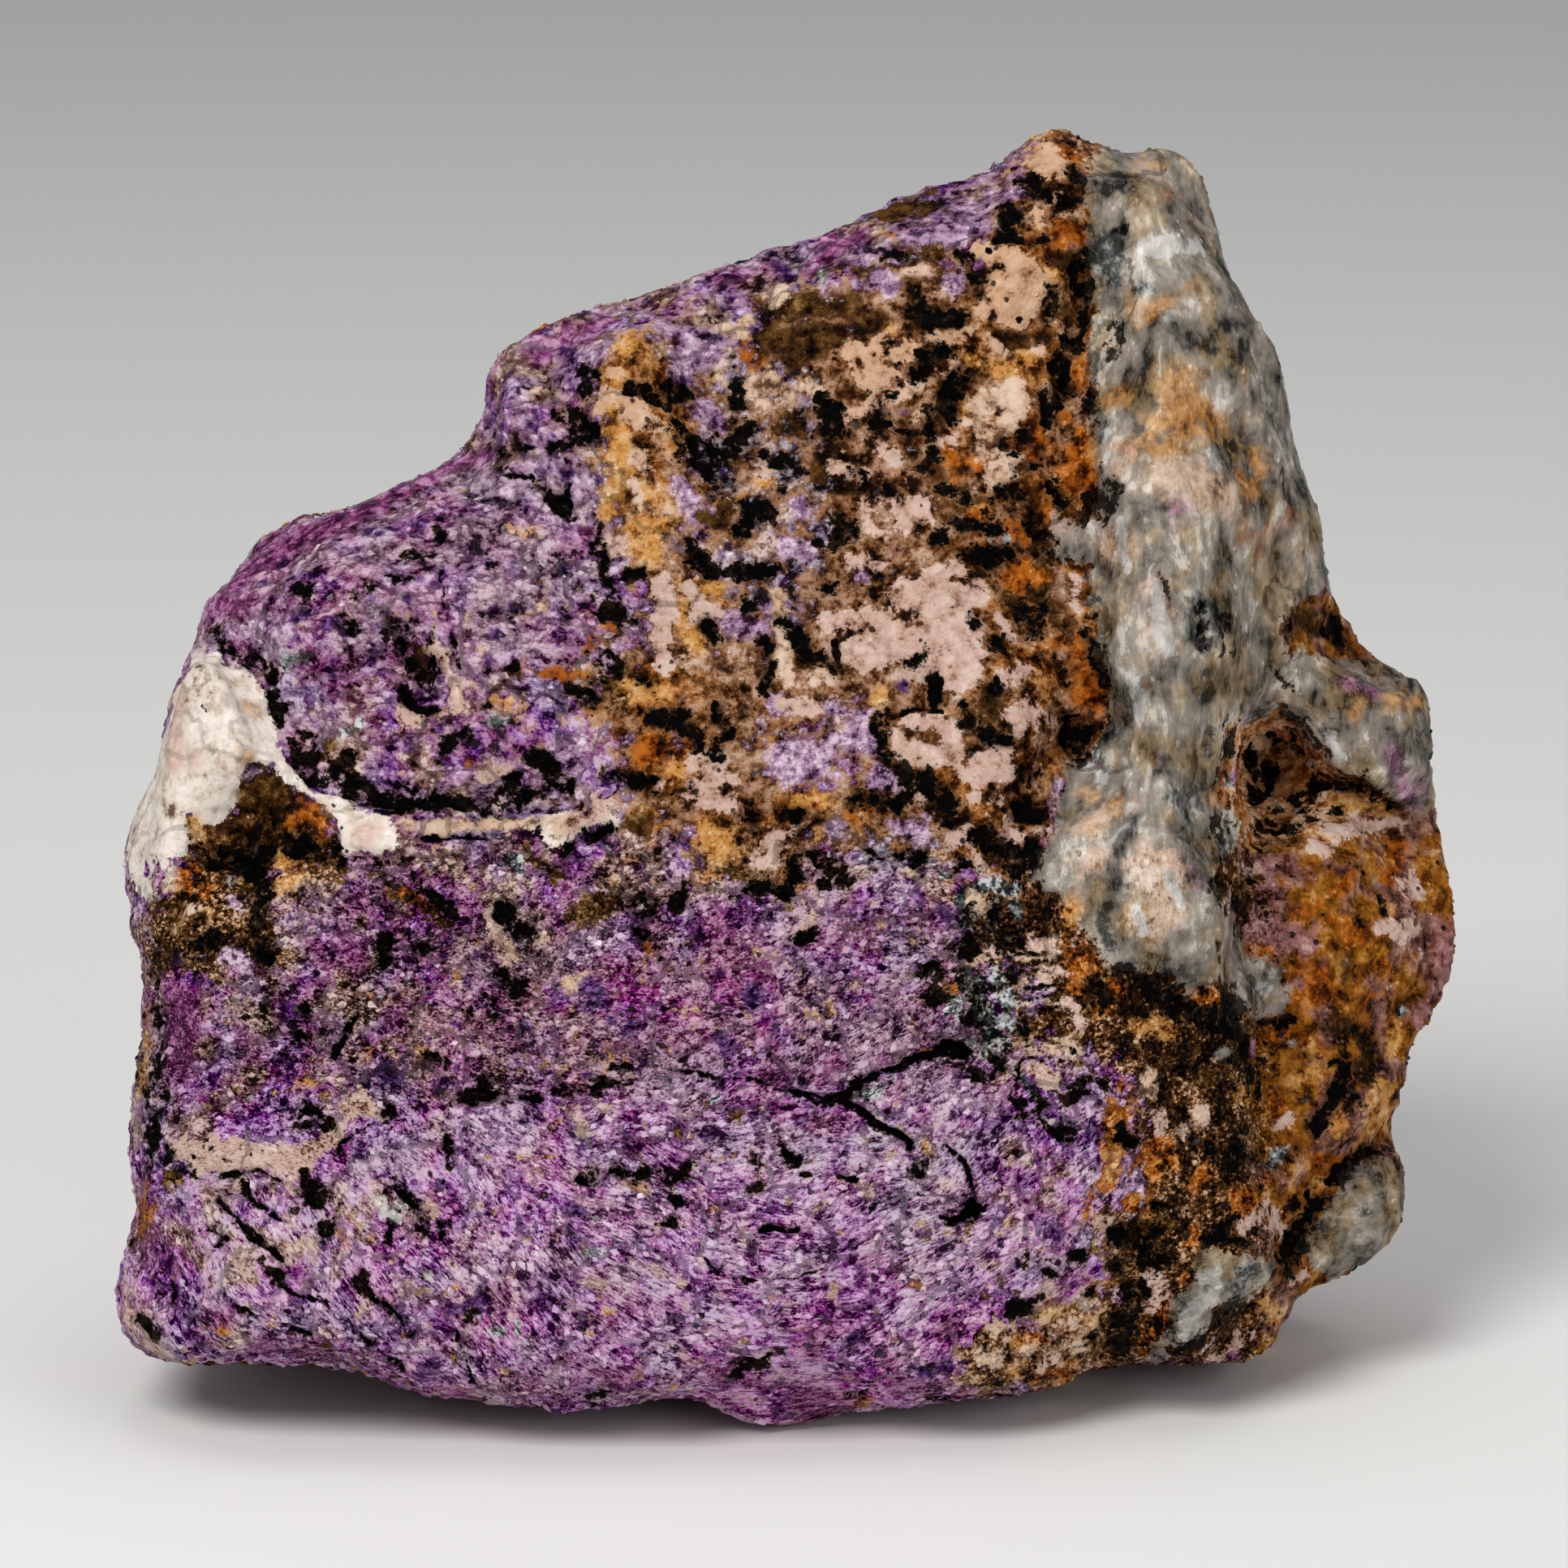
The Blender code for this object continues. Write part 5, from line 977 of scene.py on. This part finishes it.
def sumIn(tree, operation, clamp=False):        # a function that adds that kind of sum to the tree
    def work(*values):
        node = tree.nodes.new("ShaderNodeMath")
        node.operation = operation
        node.use_clamp = clamp
        for socket, value in zip(node.inputs, values):
            feed(tree, socket, value)
        return node.outputs[0]

    return work


def sumsIn(tree):
    return [sumIn(tree, operation) for operation in ("ADD", "SUBTRACT", "MULTIPLY", "MAXIMUM")]


def spread(tree, value, low, high, newLow=0.0, newHigh=1.0, kind="SMOOTHSTEP"):
    node = tree.nodes.new("ShaderNodeMapRange")
    node.interpolation_type = kind
    names = ("Value", "From Min", "From Max", "To Min", "To Max")
    for name, given in zip(names, (value, low, high, newLow, newHigh)):
        feed(tree, node.inputs[name], given)
    return node.outputs["Result"]


def ramp(tree, value, stops):
    node = put(tree, "ShaderNodeValToRGB", Fac=value)
    while len(node.color_ramp.elements) > 1:
        node.color_ramp.elements.remove(node.color_ramp.elements[0])
    for k, (*spot, red, green, blue) in enumerate(stops):
        spot = spot[0] if spot else usualStops[k]
        stop = node.color_ramp.elements[0] if k == 0 else node.color_ramp.elements.new(spot)
        stop.position = spot
        stop.color = fromScreen(red, green, blue)
    return node.outputs["Color"]


def blendColour(tree, share, first, second):
    node = tree.nodes.new("ShaderNodeMix")
    node.data_type = "RGBA"
    feed(tree, node.inputs["Factor"], share)
    for name, value in (("A", first), ("B", second)):
        feed(tree, [s for s in node.inputs if s.name == name and s.type == "RGBA"][0], value)
    return [s for s in node.outputs if s.type == "RGBA"][0]


def newGroup(name, inputs, outputs):
    tree = bpy.data.node_groups.new(name, "ShaderNodeTree")
    for label, kind, value in inputs:
        socket = tree.interface.new_socket(name=label, in_out="INPUT", socket_type=kind)
        if value is not None:
            socket.default_value = value
    for label in outputs:
        tree.interface.new_socket(name=label, in_out="OUTPUT", socket_type=number)
    return tree, tree.nodes.new("NodeGroupInput").outputs, tree.nodes.new("NodeGroupOutput")


number, place = "NodeSocketFloat", "NodeSocketVector"
rockGrains = {        # sizes of the patterns: repeats along the fibres, or to the metre
    "threads": 1.5, "fineThreads": 4.5, "cells": 2.6,
    "grains": 1000.0, "fineGrains": 6500.0, "ragged": 800.0, "broad": 270.0, "hue": 420.0, "dots": 1300.0,
}


def makeGrainGroup():        # the rock's own texture: grains, fibres, cleavage cells, ragged edges, specks
    outputs = "Value Lumpy Cloudy Relief Ragged Hue BroadHue Rich Cell Speck SpeckHue Glint".split()
    tree, given, made = newGroup("rockGrain", [("Fibres", place, None), ("Crisp", number, 0.0)], outputs)
    plus, minus, times, _ = sumsIn(tree)
    spot = tree.nodes.new("ShaderNodeTexCoord").outputs["Object"]
    fibres, crisp = given["Fibres"], given["Crisp"]

    def cloud(vector, size, detail, rough):
        scale = rockGrains[size]
        return put(tree, "ShaderNodeTexNoise", Vector=vector, Scale=scale, Detail=detail, Roughness=rough)

    def cellsOf(vector, size):
        return put(tree, "ShaderNodeTexVoronoi", Vector=vector, Scale=rockGrains[size])

    def threeOf(colour):
        return put(tree, "ShaderNodeSeparateColor", Color=colour).outputs

    def weigh(first, second, share):        # second's share of the sum
        return plus(times(first, 1 - share), times(second, share))

    def even(value, reach):        # spreads a noise evenly over 0 to 1
        return spread(tree, value, 0.5 - reach, 0.5 + reach)

    def about(value, amount):        # the same amount up and down
        return times(minus(value, 0.5), amount)

    def give(name, value):
        tree.links.new(value, made.inputs[name])

    rough = spread(tree, crisp, -1.0, 1.0, 0.66, 0.84, "LINEAR")
    threads = cloud(fibres, "threads", 5.0, rough).outputs["Fac"]
    grains = cloud(spot, "grains", 4.0, rough).outputs["Fac"]
    fineThreads = cloud(fibres, "fineThreads", 2.0, 0.6).outputs["Fac"]
    fineGrains = cloud(spot, "fineGrains", 1.0, 0.5).outputs["Fac"]
    fine = about(weigh(fineThreads, fineGrains, 0.3), spread(tree, crisp, 0.0, 1.0, 0.0, 3.2))
    ragged = cloud(spot, "ragged", 5.0, 0.70).outputs["Fac"]
    broad = threeOf(cloud(spot, "broad", 3.0, 0.58).outputs["Color"])
    cell = threeOf(cellsOf(fibres, "cells").outputs["Color"])
    mixed = weigh(threads, grains, 0.44)
    swell = even(broad[0], 0.14)
    value = plus(plus(even(mixed, 0.098), about(cell[0], 0.24)), about(swell, 0.36))
    value = about(value, spread(tree, crisp, -1.0, 1.0, 0.82, 1.10, "LINEAR"))
    give("Relief", mixed)
    give("Value", plus(plus(value, 0.5), fine))
    give("Lumpy", plus(weigh(even(weigh(ragged, grains, 0.30), 0.115), swell, 0.22), fine))
    give("Cloudy", plus(weigh(swell, even(mixed, 0.098), 0.30), about(cell[1], 0.18)))
    give("Ragged", ragged)
    give("Hue", weigh(even(cloud(spot, "hue", 2.0, 0.5).outputs["Fac"], 0.16), cell[1], 0.12))
    give("BroadHue", even(broad[1], 0.14))
    give("Rich", even(broad[2], 0.14))
    give("Cell", cell[2])
    # dark specks of two colours and pale glints, each where luck has it
    dots = cellsOf(spot, "dots").outputs
    luck = threeOf(dots["Color"])
    away = plus(dots["Distance"], about(grains, 0.9))
    for name, chance, least, widest in (("Speck", luck[0], 0.40, 0.30), ("Glint", luck[1], 0.62, 0.24)):
        size = spread(tree, chance, least, 1.0, -0.10, widest, "LINEAR")
        give(name, spread(tree, minus(size, away), -0.03, 0.04))
    give("SpeckHue", spread(tree, luck[2], 0.45, 0.55))
    return tree


def makeEdgeGroup():        # a reach in millimetres becomes a ragged mask
    tree, given, made = newGroup("mineralEdge", [("Reach", number, 0.0), ("Ragged", number, 0.5),
                                                 ("Amount", number, 1.6), ("Soft", number, 0.06)], ("Mask",))
    plus, minus, times, _ = sumsIn(tree)
    moved = plus(given["Reach"], times(minus(given["Ragged"], 0.5), given["Amount"]))
    tree.links.new(spread(tree, moved, times(given["Soft"], -1.0), given["Soft"]), made.inputs["Mask"])
    return tree


usualStops = (0.03, 0.15, 0.30, 0.50, 0.70, 0.85, 0.97)
rockColours = {        # dark to light: screen colours, after their places on the ramp if those aren't usual
    "violet": [(12,0,18), (54,20,68), (90,50,104), (124,85,132), (151,115,155), (171,139,175), (198,172,202)],
    "mauve": [(18,2,12), (72,32,60), (108,66,96), (138,97,125), (157,118,144), (170,135,157), (194,164,181)],
    "beige": [(14,3,1), (60,34,24), (92,64,54), (124,94,82), (152,122,110), (174,146,134), (204,180,168)],
    "orchid": [(44,8,42), (106,56,99), (142,92,134), (168,123,160), (183,144,174), (192,158,184),
        (210,184,202)],
    "matrix": [(6,1,0), (36,16,3), (76,44,20), (124,84,56), (158,120,94), (173,138,115), (190,161,143)],
    "amber": [(8,2,0), (56,25,2), (102,54,12), (148,90,34), (178,121,62), (190,143,92), (204,170,138)],
    # the pocket's colours are lightened beyond its orange-brown: painted light against the shadow in the
    # hollow
    "pocket": [(0.10, 2,0,0), (0.30, 60,26,6), (0.50, 150,86,40), (0.70, 206,142,88), (0.97, 246,208,170)],
    "brownLow": [(3,0,0), (15,5,0), (34,16,3), (66,37,10), (108,71,34), (152,111,72), (200,168,142)],
    "lobe": [(10,4,0), (74,38,8), (108,62,14), (137,80,18), (157,101,34), (171,122,60), (190,150,108)],
    "blush": [(14,4,6), (64,38,34), (94,62,56), (122,86,82), (146,110,106), (166,132,130), (190,164,160)],
    "quartz": [(34,33,30), (76,72,65), (104,98,89), (128,119,108), (148,138,126), (167,157,144),
        (202,194,184)],
    "stained": [(50,36,18), (96,77,50), (122,101,72), (144,122,94), (165,144,117), (186,167,142),
        (212,197,178)],
    "vein": [(0.02, 96,76,62), (0.12, 180,158,140), (0.30, 202,187,172), (0.50, 214,202,190),
        (0.75, 223,212,201), (0.97, 232,222,212)],
    "tan": [(0.03, 70,38,24), (0.13, 136,98,80), (0.30, 176,141,124), (0.50, 190,157,142),
        (0.75, 200,170,156), (0.97, 212,187,174)],
    "peach": [(0.03, 84,48,22), (0.15, 140,100,70), (0.30, 176,136,104), (0.50, 190,150,118),
        (0.75, 198,160,129), (0.97, 208,174,146)],
    "cream": [(0.03, 90,62,42), (0.18, 156,122,96), (0.50, 196,163,137), (0.97, 215,190,170)],
    "speck": [(0.30, 6,1,3), (0.90, 34,16,26)],
    "fleck": [(0.10, 44,10,66), (0.50, 72,28,100), (0.90, 104,60,130)],
    "glass": [(0.03, 118,116,111), (0.50, 176,173,167), (0.97, 214,211,206)],
    "glint": [(0.10, 150,124,142), (0.60, 196,174,186), (0.97, 226,212,214)],
    "ochre": [(0.03, 56,28,4), (0.18, 144,88,32), (0.50, 188,131,66), (0.80, 202,152,94),
        (0.97, 212,178,140)],
    "rust": [(0.03, 14,3,0), (0.20, 76,28,2), (0.50, 142,70,10), (0.80, 174,100,30), (0.97, 196,140,82)],
    "brown": [(0.03, 3,0,0), (0.20, 24,10,2), (0.50, 58,34,11), (0.80, 94,62,28), (0.97, 140,106,70)],
    "lilac": [(0.03, 44,20,42), (0.20, 112,78,108), (0.50, 154,119,147), (0.80, 181,151,172),
        (0.97, 210,188,202)],
    "deep": [(0.03, 14,0,22), (0.25, 46,14,60), (0.60, 78,38,94), (0.97, 124,86,136)],
    "magenta": [(0.03, 44,6,34), (0.25, 92,34,76), (0.60, 136,66,116), (0.97, 182,128,164)],
    "grey": [(0.03, 14,17,17), (0.25, 60,65,65), (0.55, 110,114,113), (0.97, 200,202,200)],
    "teal": [(0.03, 3,6,7), (0.35, 24,30,31), (0.70, 52,60,61), (0.97, 124,130,130)],
    "rose": [(0.03, 30,8,8), (0.20, 88,48,46), (0.50, 132,86,82), (0.80, 158,112,108), (0.97, 188,150,146)],
    "black": [(0.05, 0,0,0), (0.50, 2,1,0), (0.80, 8,4,2), (0.97, 36,24,16)],
}
rockMarks = [        # mineral, ramp, which grain, ragged amount, soft edge, how much of it shows on quartz; the black marks also paint shadow into gaps, the white ones glints and highlights, the cream ones a highlight on a ledge rim
    ("lilac", "lilac", "Value", 3.4, 0.22, 0.0), ("magenta", "magenta", "Value", 3.2, 0.55, 0.8),
    ("rose", "rose", "Lumpy", 4.0, 0.3, 0.6), ("brown", "brown", "Lumpy", 3.4, 0.14, 0.6),
    ("rust", "rust", "Lumpy", 3.4, 0.26, 0.65), ("ochre", "ochre", "Lumpy", 3.2, 0.32, 0.72),
    ("tan", "tan", "Lumpy", 3.2, 0.12, 0.7), ("teal", "teal", "Value", 2.8, 0.16, 0.85),
    ("grey", "grey", "Value", 2.8, 0.16, 0.8), ("cream", "cream", "Lumpy", 2.8, 0.2, 0.8),
    ("violet", "deep", "Value", 2.6, 0.22, 0.5), ("white", "glass", "Cloudy", 1.8, 0.14, 0.85),
    ("black", "black", "Value", 3.8, 0.07, 0.92), ("crack", "black", "Value", 1.5, 0.05, 0.9),
    ("dot", "black", "Value", 0.8, 0.04, 1.0),
]
stoneLooks = {
    "shine": 0.03, "coatRoughness": 0.22, "coatIor": 1.5,
    "rough": (0.42, 0.72), "bump": 0.8, "bumpHeight": 0.0005,
}


def makeRockMaterial():
    material = bpy.data.materials.new("purpuriteStone")
    material.use_nodes = True
    tree = material.node_tree
    tree.nodes.clear()
    plus, minus, times, most = sumsIn(tree)
    clamped = {operation: sumIn(tree, operation, True) for operation in ("ADD", "SUBTRACT", "MULTIPLY")}

    def field(name, output="Fac"):        # a number or a place kept on the mesh
        node = tree.nodes.new("ShaderNodeAttribute")
        node.attribute_name = name
        return node.outputs[output]

    grain = useGroup(tree, makeGrainGroup(), Fibres=field("fibres", "Vector"), Crisp=field("crisp")).outputs
    edge = makeEdgeGroup()
    # painted shade in hollows and painted light on raised spots, from the relief, plus the brightness field,
    # which holds the pocket's painted light
    shadeAndToneLift = plus(times(field("relief"), 0.16), field("bright"))
    values = {name: clamped["ADD"](grain[name], shadeAndToneLift) for name in ("Value", "Lumpy", "Cloudy")}

    def maskOf(reach, amount, softness):
        mask = useGroup(tree, edge, Reach=reach, Ragged=grain["Ragged"], Amount=amount, Soft=softness)
        return mask.outputs["Mask"]

    def look(name, which="Value"):
        return ramp(tree, values[which], rockColours[name])

    def over(share, below, above):
        return blendColour(tree, share, below, above)

    def eased(value, low, high, newLow=0.0, newHigh=1.0):
        return spread(tree, value, low, high, newLow, newHigh)

    def scaled(value, newLow, newHigh):        # 0 to 1 becomes newLow to newHigh, in a straight line
        return spread(tree, value, 0.0, 1.0, newLow, newHigh, "LINEAR")

    # the purple: violet where it is cool, mauve, orchid in the lower half, beige where it is warm
    lower, clean, pale = field("lower"), field("clean"), field("pale")
    hue = plus(plus(grain["Hue"], field("warm")), times(minus(grain["BroadHue"], 0.5), 0.30))
    shade = over(lower, look("mauve"), look("orchid"))
    cool = times(eased(hue, 0.12, 0.52, 1.0, 0.0), eased(clean, 0.0, 1.0, 1.0, 0.62))
    shade = over(cool, shade, look("violet"))
    rich = times(times(scaled(grain["Rich"], 0.86, 1.42), scaled(pale, 1.0, 0.87)), plus(field("rich"), 1.0))
    shade = put(tree, "ShaderNodeHueSaturation", Saturation=rich, Color=shade).outputs["Color"]
    warm = times(eased(hue, 0.60, 0.98, 0.0, 0.9), eased(clean, 0.0, 1.0, 1.0, 0.25))
    shade = over(warm, shade, look("beige"))
    shade = over(times(grain["Speck"], times(grain["SpeckHue"], 0.8)), shade, look("fleck"))

    # the mixed tan and brown stone, the lobe, and the pocket at the right in lightened colours, painted light
    # against the hollow's shadow
    lobe = over(eased(grain["BroadHue"], 0.45, 1.0, 0.0, 0.8), look("lobe", "Lumpy"), look("blush", "Lumpy"))
    warmer = eased(plus(grain["Hue"], times(grain["BroadHue"], 0.7)), 0.75, 1.25, 0.0, 0.9)
    mixed = over(times(warmer, field("amber")), look("matrix", "Lumpy"), look("amber", "Lumpy"))
    mixed = over(field("low"), mixed, over(field("lobe"), look("brownLow", "Lumpy"), lobe))
    mixed = over(field("pocket"), mixed, look("pocket", "Lumpy"))
    matrix = maskOf(field("matrixReach"), 9.0, 0.3)
    shade = over(matrix, shade, mixed)

    # the quartz, the vein and the glints
    quartz = maskOf(field("quartzReach"), 3.4, 0.08)
    stains = eased(grain["BroadHue"], 0.45, 1.0, 0.0, 0.9)
    shade = over(quartz, shade, over(stains, look("quartz", "Cloudy"), look("stained", "Cloudy")))
    vein = maskOf(field("veinReach"), 2.6, 0.05)
    shade = over(vein, shade, look("vein", "Lumpy"))
    bare = clamped["SUBTRACT"](1.0, most(vein, times(quartz, 0.8)))
    shade = over(times(grain["Glint"], times(bare, eased(matrix, 0.0, 1.0, 0.7, 0.08))), shade, look("glint"))

    # the marks, one mineral over the other
    glazed = times(most(quartz, vein), field("front"))        # stains sink into these, with soft edges
    hints = scaled(times(lower, minus(1.0, matrix)), 1.0, 0.5)        # less of some on the lower purple
    dark = 0.0
    for mineral, colours, which, amount, softness, onQuartz in rockMarks:
        reach = field(mineral + "Reach")
        if mineral == "black":        # brown around it, and specks over all but this, the vein and the quartz
            fringe = maskOf(plus(reach, 0.13), amount, 0.2)
            shade = over(times(fringe, scaled(glazed, 0.75, 0.2)), shade, look("brown"))
            dots = times(grain["Speck"], minus(1.0, grain["SpeckHue"]))
            dots = times(dots, eased(pale, 0.0, 1.0, 1.0, 0.5))
            dots = most(dots, times(grain["Speck"], tanMask))
            shade = over(times(dots, times(bare, 0.9)), shade, look("speck"))
        if colours not in ("black", "glass"):
            softness = plus(times(glazed, 0.12 if colours in ("teal", "grey") else 0.36), softness)
        mask = maskOf(reach, amount, softness)
        if colours in ("ochre", "cream"):
            mask = times(mask, hints)
        if onQuartz < 1:
            mask = times(mask, scaled(quartz, 1.0, onQuartz))
        above = look(colours, which)
        if colours == "tan":
            tanMask = mask
            above = over(field("peach"), above, look("peach", "Lumpy"))
        shade = over(mask, shade, above)
        if colours in ("black", "brown"):
            dark = most(mask, dark)

    height = times(grain["Relief"], scaled(vein, 1.0, 0.35))
    bump = put(tree, "ShaderNodeBump", Height=height,
               Strength=stoneLooks["bump"], Distance=stoneLooks["bumpHeight"])
    shine = most(times(quartz, 0.55), eased(grain["Cell"], 0.10, 0.16, 0.6, 0.0))
    shine = clamped["MULTIPLY"](shine, minus(1.0, most(dark, times(matrix, 0.8))))
    skin = put(tree, "ShaderNodeBsdfPrincipled", Roughness=scaled(grain["Cell"], *stoneLooks["rough"]),
               Normal=bump.outputs["Normal"])
    skin.inputs["Specular IOR Level"].default_value = stoneLooks["shine"]
    skin.inputs["Coat Roughness"].default_value = stoneLooks["coatRoughness"]
    skin.inputs["Coat IOR"].default_value = stoneLooks["coatIor"]
    tree.links.new(shine, skin.inputs["Coat Weight"])
    tree.links.new(shade, skin.inputs["Base Color"])
    put(tree, "ShaderNodeOutputMaterial", Surface=skin.outputs[0])
    return material


# Small crystals, half sunk in the rock; density is how many to the square millimetre where the weight is 1,
# and small and large are in millimetres
chipKinds = {
    "purpuriteFlakes": {
        "weight": "flaky", "density": 2.1, "small": 0.22, "large": 0.62, "seed": 5,
        "sides": 4, "longer": 1.9, "flatter": 0.34, "taper": 0.72, "tilt": 0.42, "tone": (-1.1, 2.0)},
    "rockGrit": {
        "weight": "gritty", "density": 2.4, "small": 0.16, "large": 0.48, "seed": 8,
        "sides": 5, "longer": 1.25, "flatter": 0.75, "taper": 0.62, "tilt": 0.9, "tone": (-1.3, 1.8)},
    "quartzSplinters": {
        "weight": "glassy", "density": 0.7, "small": 0.14, "large": 0.42, "seed": 11,
        "sides": 5, "longer": 2.4, "flatter": 0.6, "taper": 0.6, "tilt": 0.35, "tone": (-0.6, 1.1)},
}


def makeChips(rock, name, material):
    kind = chipKinds[name]
    tree = bpy.data.node_groups.new(name, "GeometryNodeTree")
    tree.interface.new_socket(name="Geometry", in_out="INPUT", socket_type="NodeSocketGeometry")
    inputs = {}
    for label, unit in (("Density", 1 / mm ** 2), ("Small", mm), ("Large", mm), ("Seed", None)):
        socketKind = "NodeSocketFloat" if unit else "NodeSocketInt"
        socket = tree.interface.new_socket(name=label, in_out="INPUT", socket_type=socketKind)
        inputs[socket.identifier] = kind[label.lower()] * unit if unit else kind[label.lower()]
    tree.interface.new_socket(name="Geometry", in_out="OUTPUT", socket_type="NodeSocketGeometry")
    given = tree.nodes.new("NodeGroupInput").outputs
    made = tree.nodes.new("NodeGroupOutput")
    plus, times = sumIn(tree, "ADD"), sumIn(tree, "MULTIPLY")

    def fieldOf(label, kindOfData="FLOAT"):
        node = tree.nodes.new("GeometryNodeInputNamedAttribute")
        node.data_type = kindOfData
        node.inputs["Name"].default_value = label
        return node.outputs["Attribute"]

    def chanceOf(low, high, step):        # a random number from low to high for each chip
        node = tree.nodes.new("FunctionNodeRandomValue")
        node.data_type = "FLOAT"
        for socket, value in zip([s for s in node.inputs if s.type == "VALUE"], (low, high)):
            feed(tree, socket, value)
        feed(tree, [s for s in node.inputs if s.name == "Seed"][0], plus(given["Seed"], step))
        return [s for s in node.outputs if s.type == "VALUE"][0]

    def along(x, y, z):
        return put(tree, "ShaderNodeCombineXYZ", X=x, Y=y, Z=z).outputs[0]

    spots = put(tree, "GeometryNodeDistributePointsOnFaces", Mesh=given["Geometry"], Seed=given["Seed"],
                Density=times(fieldOf(kind["weight"]), given["Density"])).outputs
    chip = put(tree, "GeometryNodeMeshCone", Vertices=kind["sides"], Depth=1.0,
               **{"Radius Top": 0.5 * kind["taper"], "Radius Bottom": 0.5})
    sunk = put(tree, "GeometryNodeTransform", Geometry=chip.outputs["Mesh"], Translation=(0, 0, -0.5))
    upright = put(tree, "FunctionNodeAlignRotationToVector", Vector=spots["Normal"])
    upright.axis = "Z"
    turned = put(tree, "FunctionNodeAlignRotationToVector", Rotation=upright.outputs["Rotation"],
                 Vector=fieldOf("way", "FLOAT_VECTOR"))
    turned.axis, turned.pivot_axis = "X", "Z"
    tilt = kind["tilt"]
    tilts = along(chanceOf(-tilt, tilt, 1), chanceOf(-tilt, tilt, 2), chanceOf(-1.2 * tilt, 1.2 * tilt, 3))
    tipped = put(tree, "FunctionNodeRotateRotation", Rotation=turned.outputs["Rotation"])
    tipped.rotation_space = "LOCAL"
    feed(tree, tipped.inputs["Rotate By"], tilts)
    size = chanceOf(given["Small"], given["Large"], 4)
    shape = along(times(size, chanceOf(0.6 * kind["longer"], kind["longer"], 5)), size,
                  times(size, chanceOf(0.5 * kind["flatter"], kind["flatter"], 6)))
    placed = put(tree, "GeometryNodeInstanceOnPoints", Points=spots["Points"], Scale=shape,
                 Instance=sunk.outputs["Geometry"], Rotation=tipped.outputs["Rotation"])
    tone = tree.nodes.new("GeometryNodeStoreNamedAttribute")
    tone.domain, tone.data_type = "INSTANCE", "FLOAT"
    feed(tree, tone.inputs["Name"], "relief")
    feed(tree, tone.inputs["Geometry"], placed.outputs["Instances"])
    feed(tree, tone.inputs["Value"], chanceOf(*kind["tone"], 7))
    real = put(tree, "GeometryNodeRealizeInstances", Geometry=tone.outputs["Geometry"])
    coloured = put(tree, "GeometryNodeSetMaterial", Geometry=real.outputs["Geometry"], Material=material)
    tree.links.new(coloured.outputs["Geometry"], made.inputs["Geometry"])

    holder = inScene(name + "Source", rock.data)
    chips = holder.modifiers.new("chips", "NODES")
    chips.node_group = tree
    for identifier, value in inputs.items():
        chips[identifier] = value
    mesh = shapeOf(holder)
    rework(mesh, inTriangles)
    mesh.name = name
    piece = inScene(name, mesh)
    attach(piece, "root")
    print("stage:", name, len(mesh.polygons), "faces")


# Floor, lights and camera
studio = {
    "floorSize": 3.0, "floorColour": (0.84, 0.83, 0.81, 1.0), "floorRough": 0.85,
    "lights": {        # where, how wide, how strong
        "key": ((-0.28, -0.55, 0.62), 0.42, 5.2),
        "fill": ((0.50, -0.62, 0.30), 0.60, 1.7),
        "top": ((0.05, 0.10, 0.80), 0.60, 1.3),
    },
    "lightsAim": (0, 0, 0.04), "room": 0.26, "roomColour": (0.95, 0.97, 1.0, 1.0),
}


def makeStudio():
    mesh = bpy.data.meshes.new("floor")
    half = studio["floorSize"] / 2
    corners = [(-half, -half, 0), (half, -half, 0), (half, half, 0), (-half, half, 0)]
    mesh.from_pydata(corners, [], [(0, 1, 2, 3)])
    material = bpy.data.materials.new("paleFloor")
    material.use_nodes = True
    skin = material.node_tree.nodes["Principled BSDF"]
    skin.inputs["Base Color"].default_value = studio["floorColour"]
    skin.inputs["Roughness"].default_value = studio["floorRough"]
    mesh.materials.append(material)
    floor = inScene("floor", mesh)
    for name, (spot, size, power) in studio["lights"].items():
        light = bpy.data.lights.new(name, "AREA")
        light.shape = "DISK"
        light.size = size
        light.energy = power
        lamp = inScene(name, light)
        lamp.location = spot
        lamp.rotation_euler = (Vector(studio["lightsAim"]) - Vector(spot)).to_track_quat("-Z", "Y").to_euler()
    world = bpy.data.worlds.new("room")
    world.use_nodes = True
    sky = world.node_tree.nodes["Background"]
    sky.inputs["Color"].default_value = studio["roomColour"]
    sky.inputs["Strength"].default_value = studio["room"]
    bpy.context.scene.world = world
    bpy.context.scene.view_settings.view_transform = "Standard"


def makeCamera():
    lens = bpy.data.cameras.new("photoCamera")
    lens.type = "PERSP"
    lens.lens = photoView["lens"]
    lens.clip_start, lens.clip_end = 0.01, 10.0
    camera = inScene("photoCamera", lens)
    camera.location = photoView["spot"]
    camera.rotation_euler = Vector((0, leanCos, -leanSin)).to_track_quat("-Z", "Y").to_euler()
    bpy.context.scene.camera = camera


makeCamera()
makeStudio()
rock = makeRock()
stone = makeRockMaterial()
rock.data.materials.append(stone)
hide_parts("rock")
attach(rock, "root")
print("stage: rock in place")
for name in chipKinds:
    makeChips(rock, name, stone)
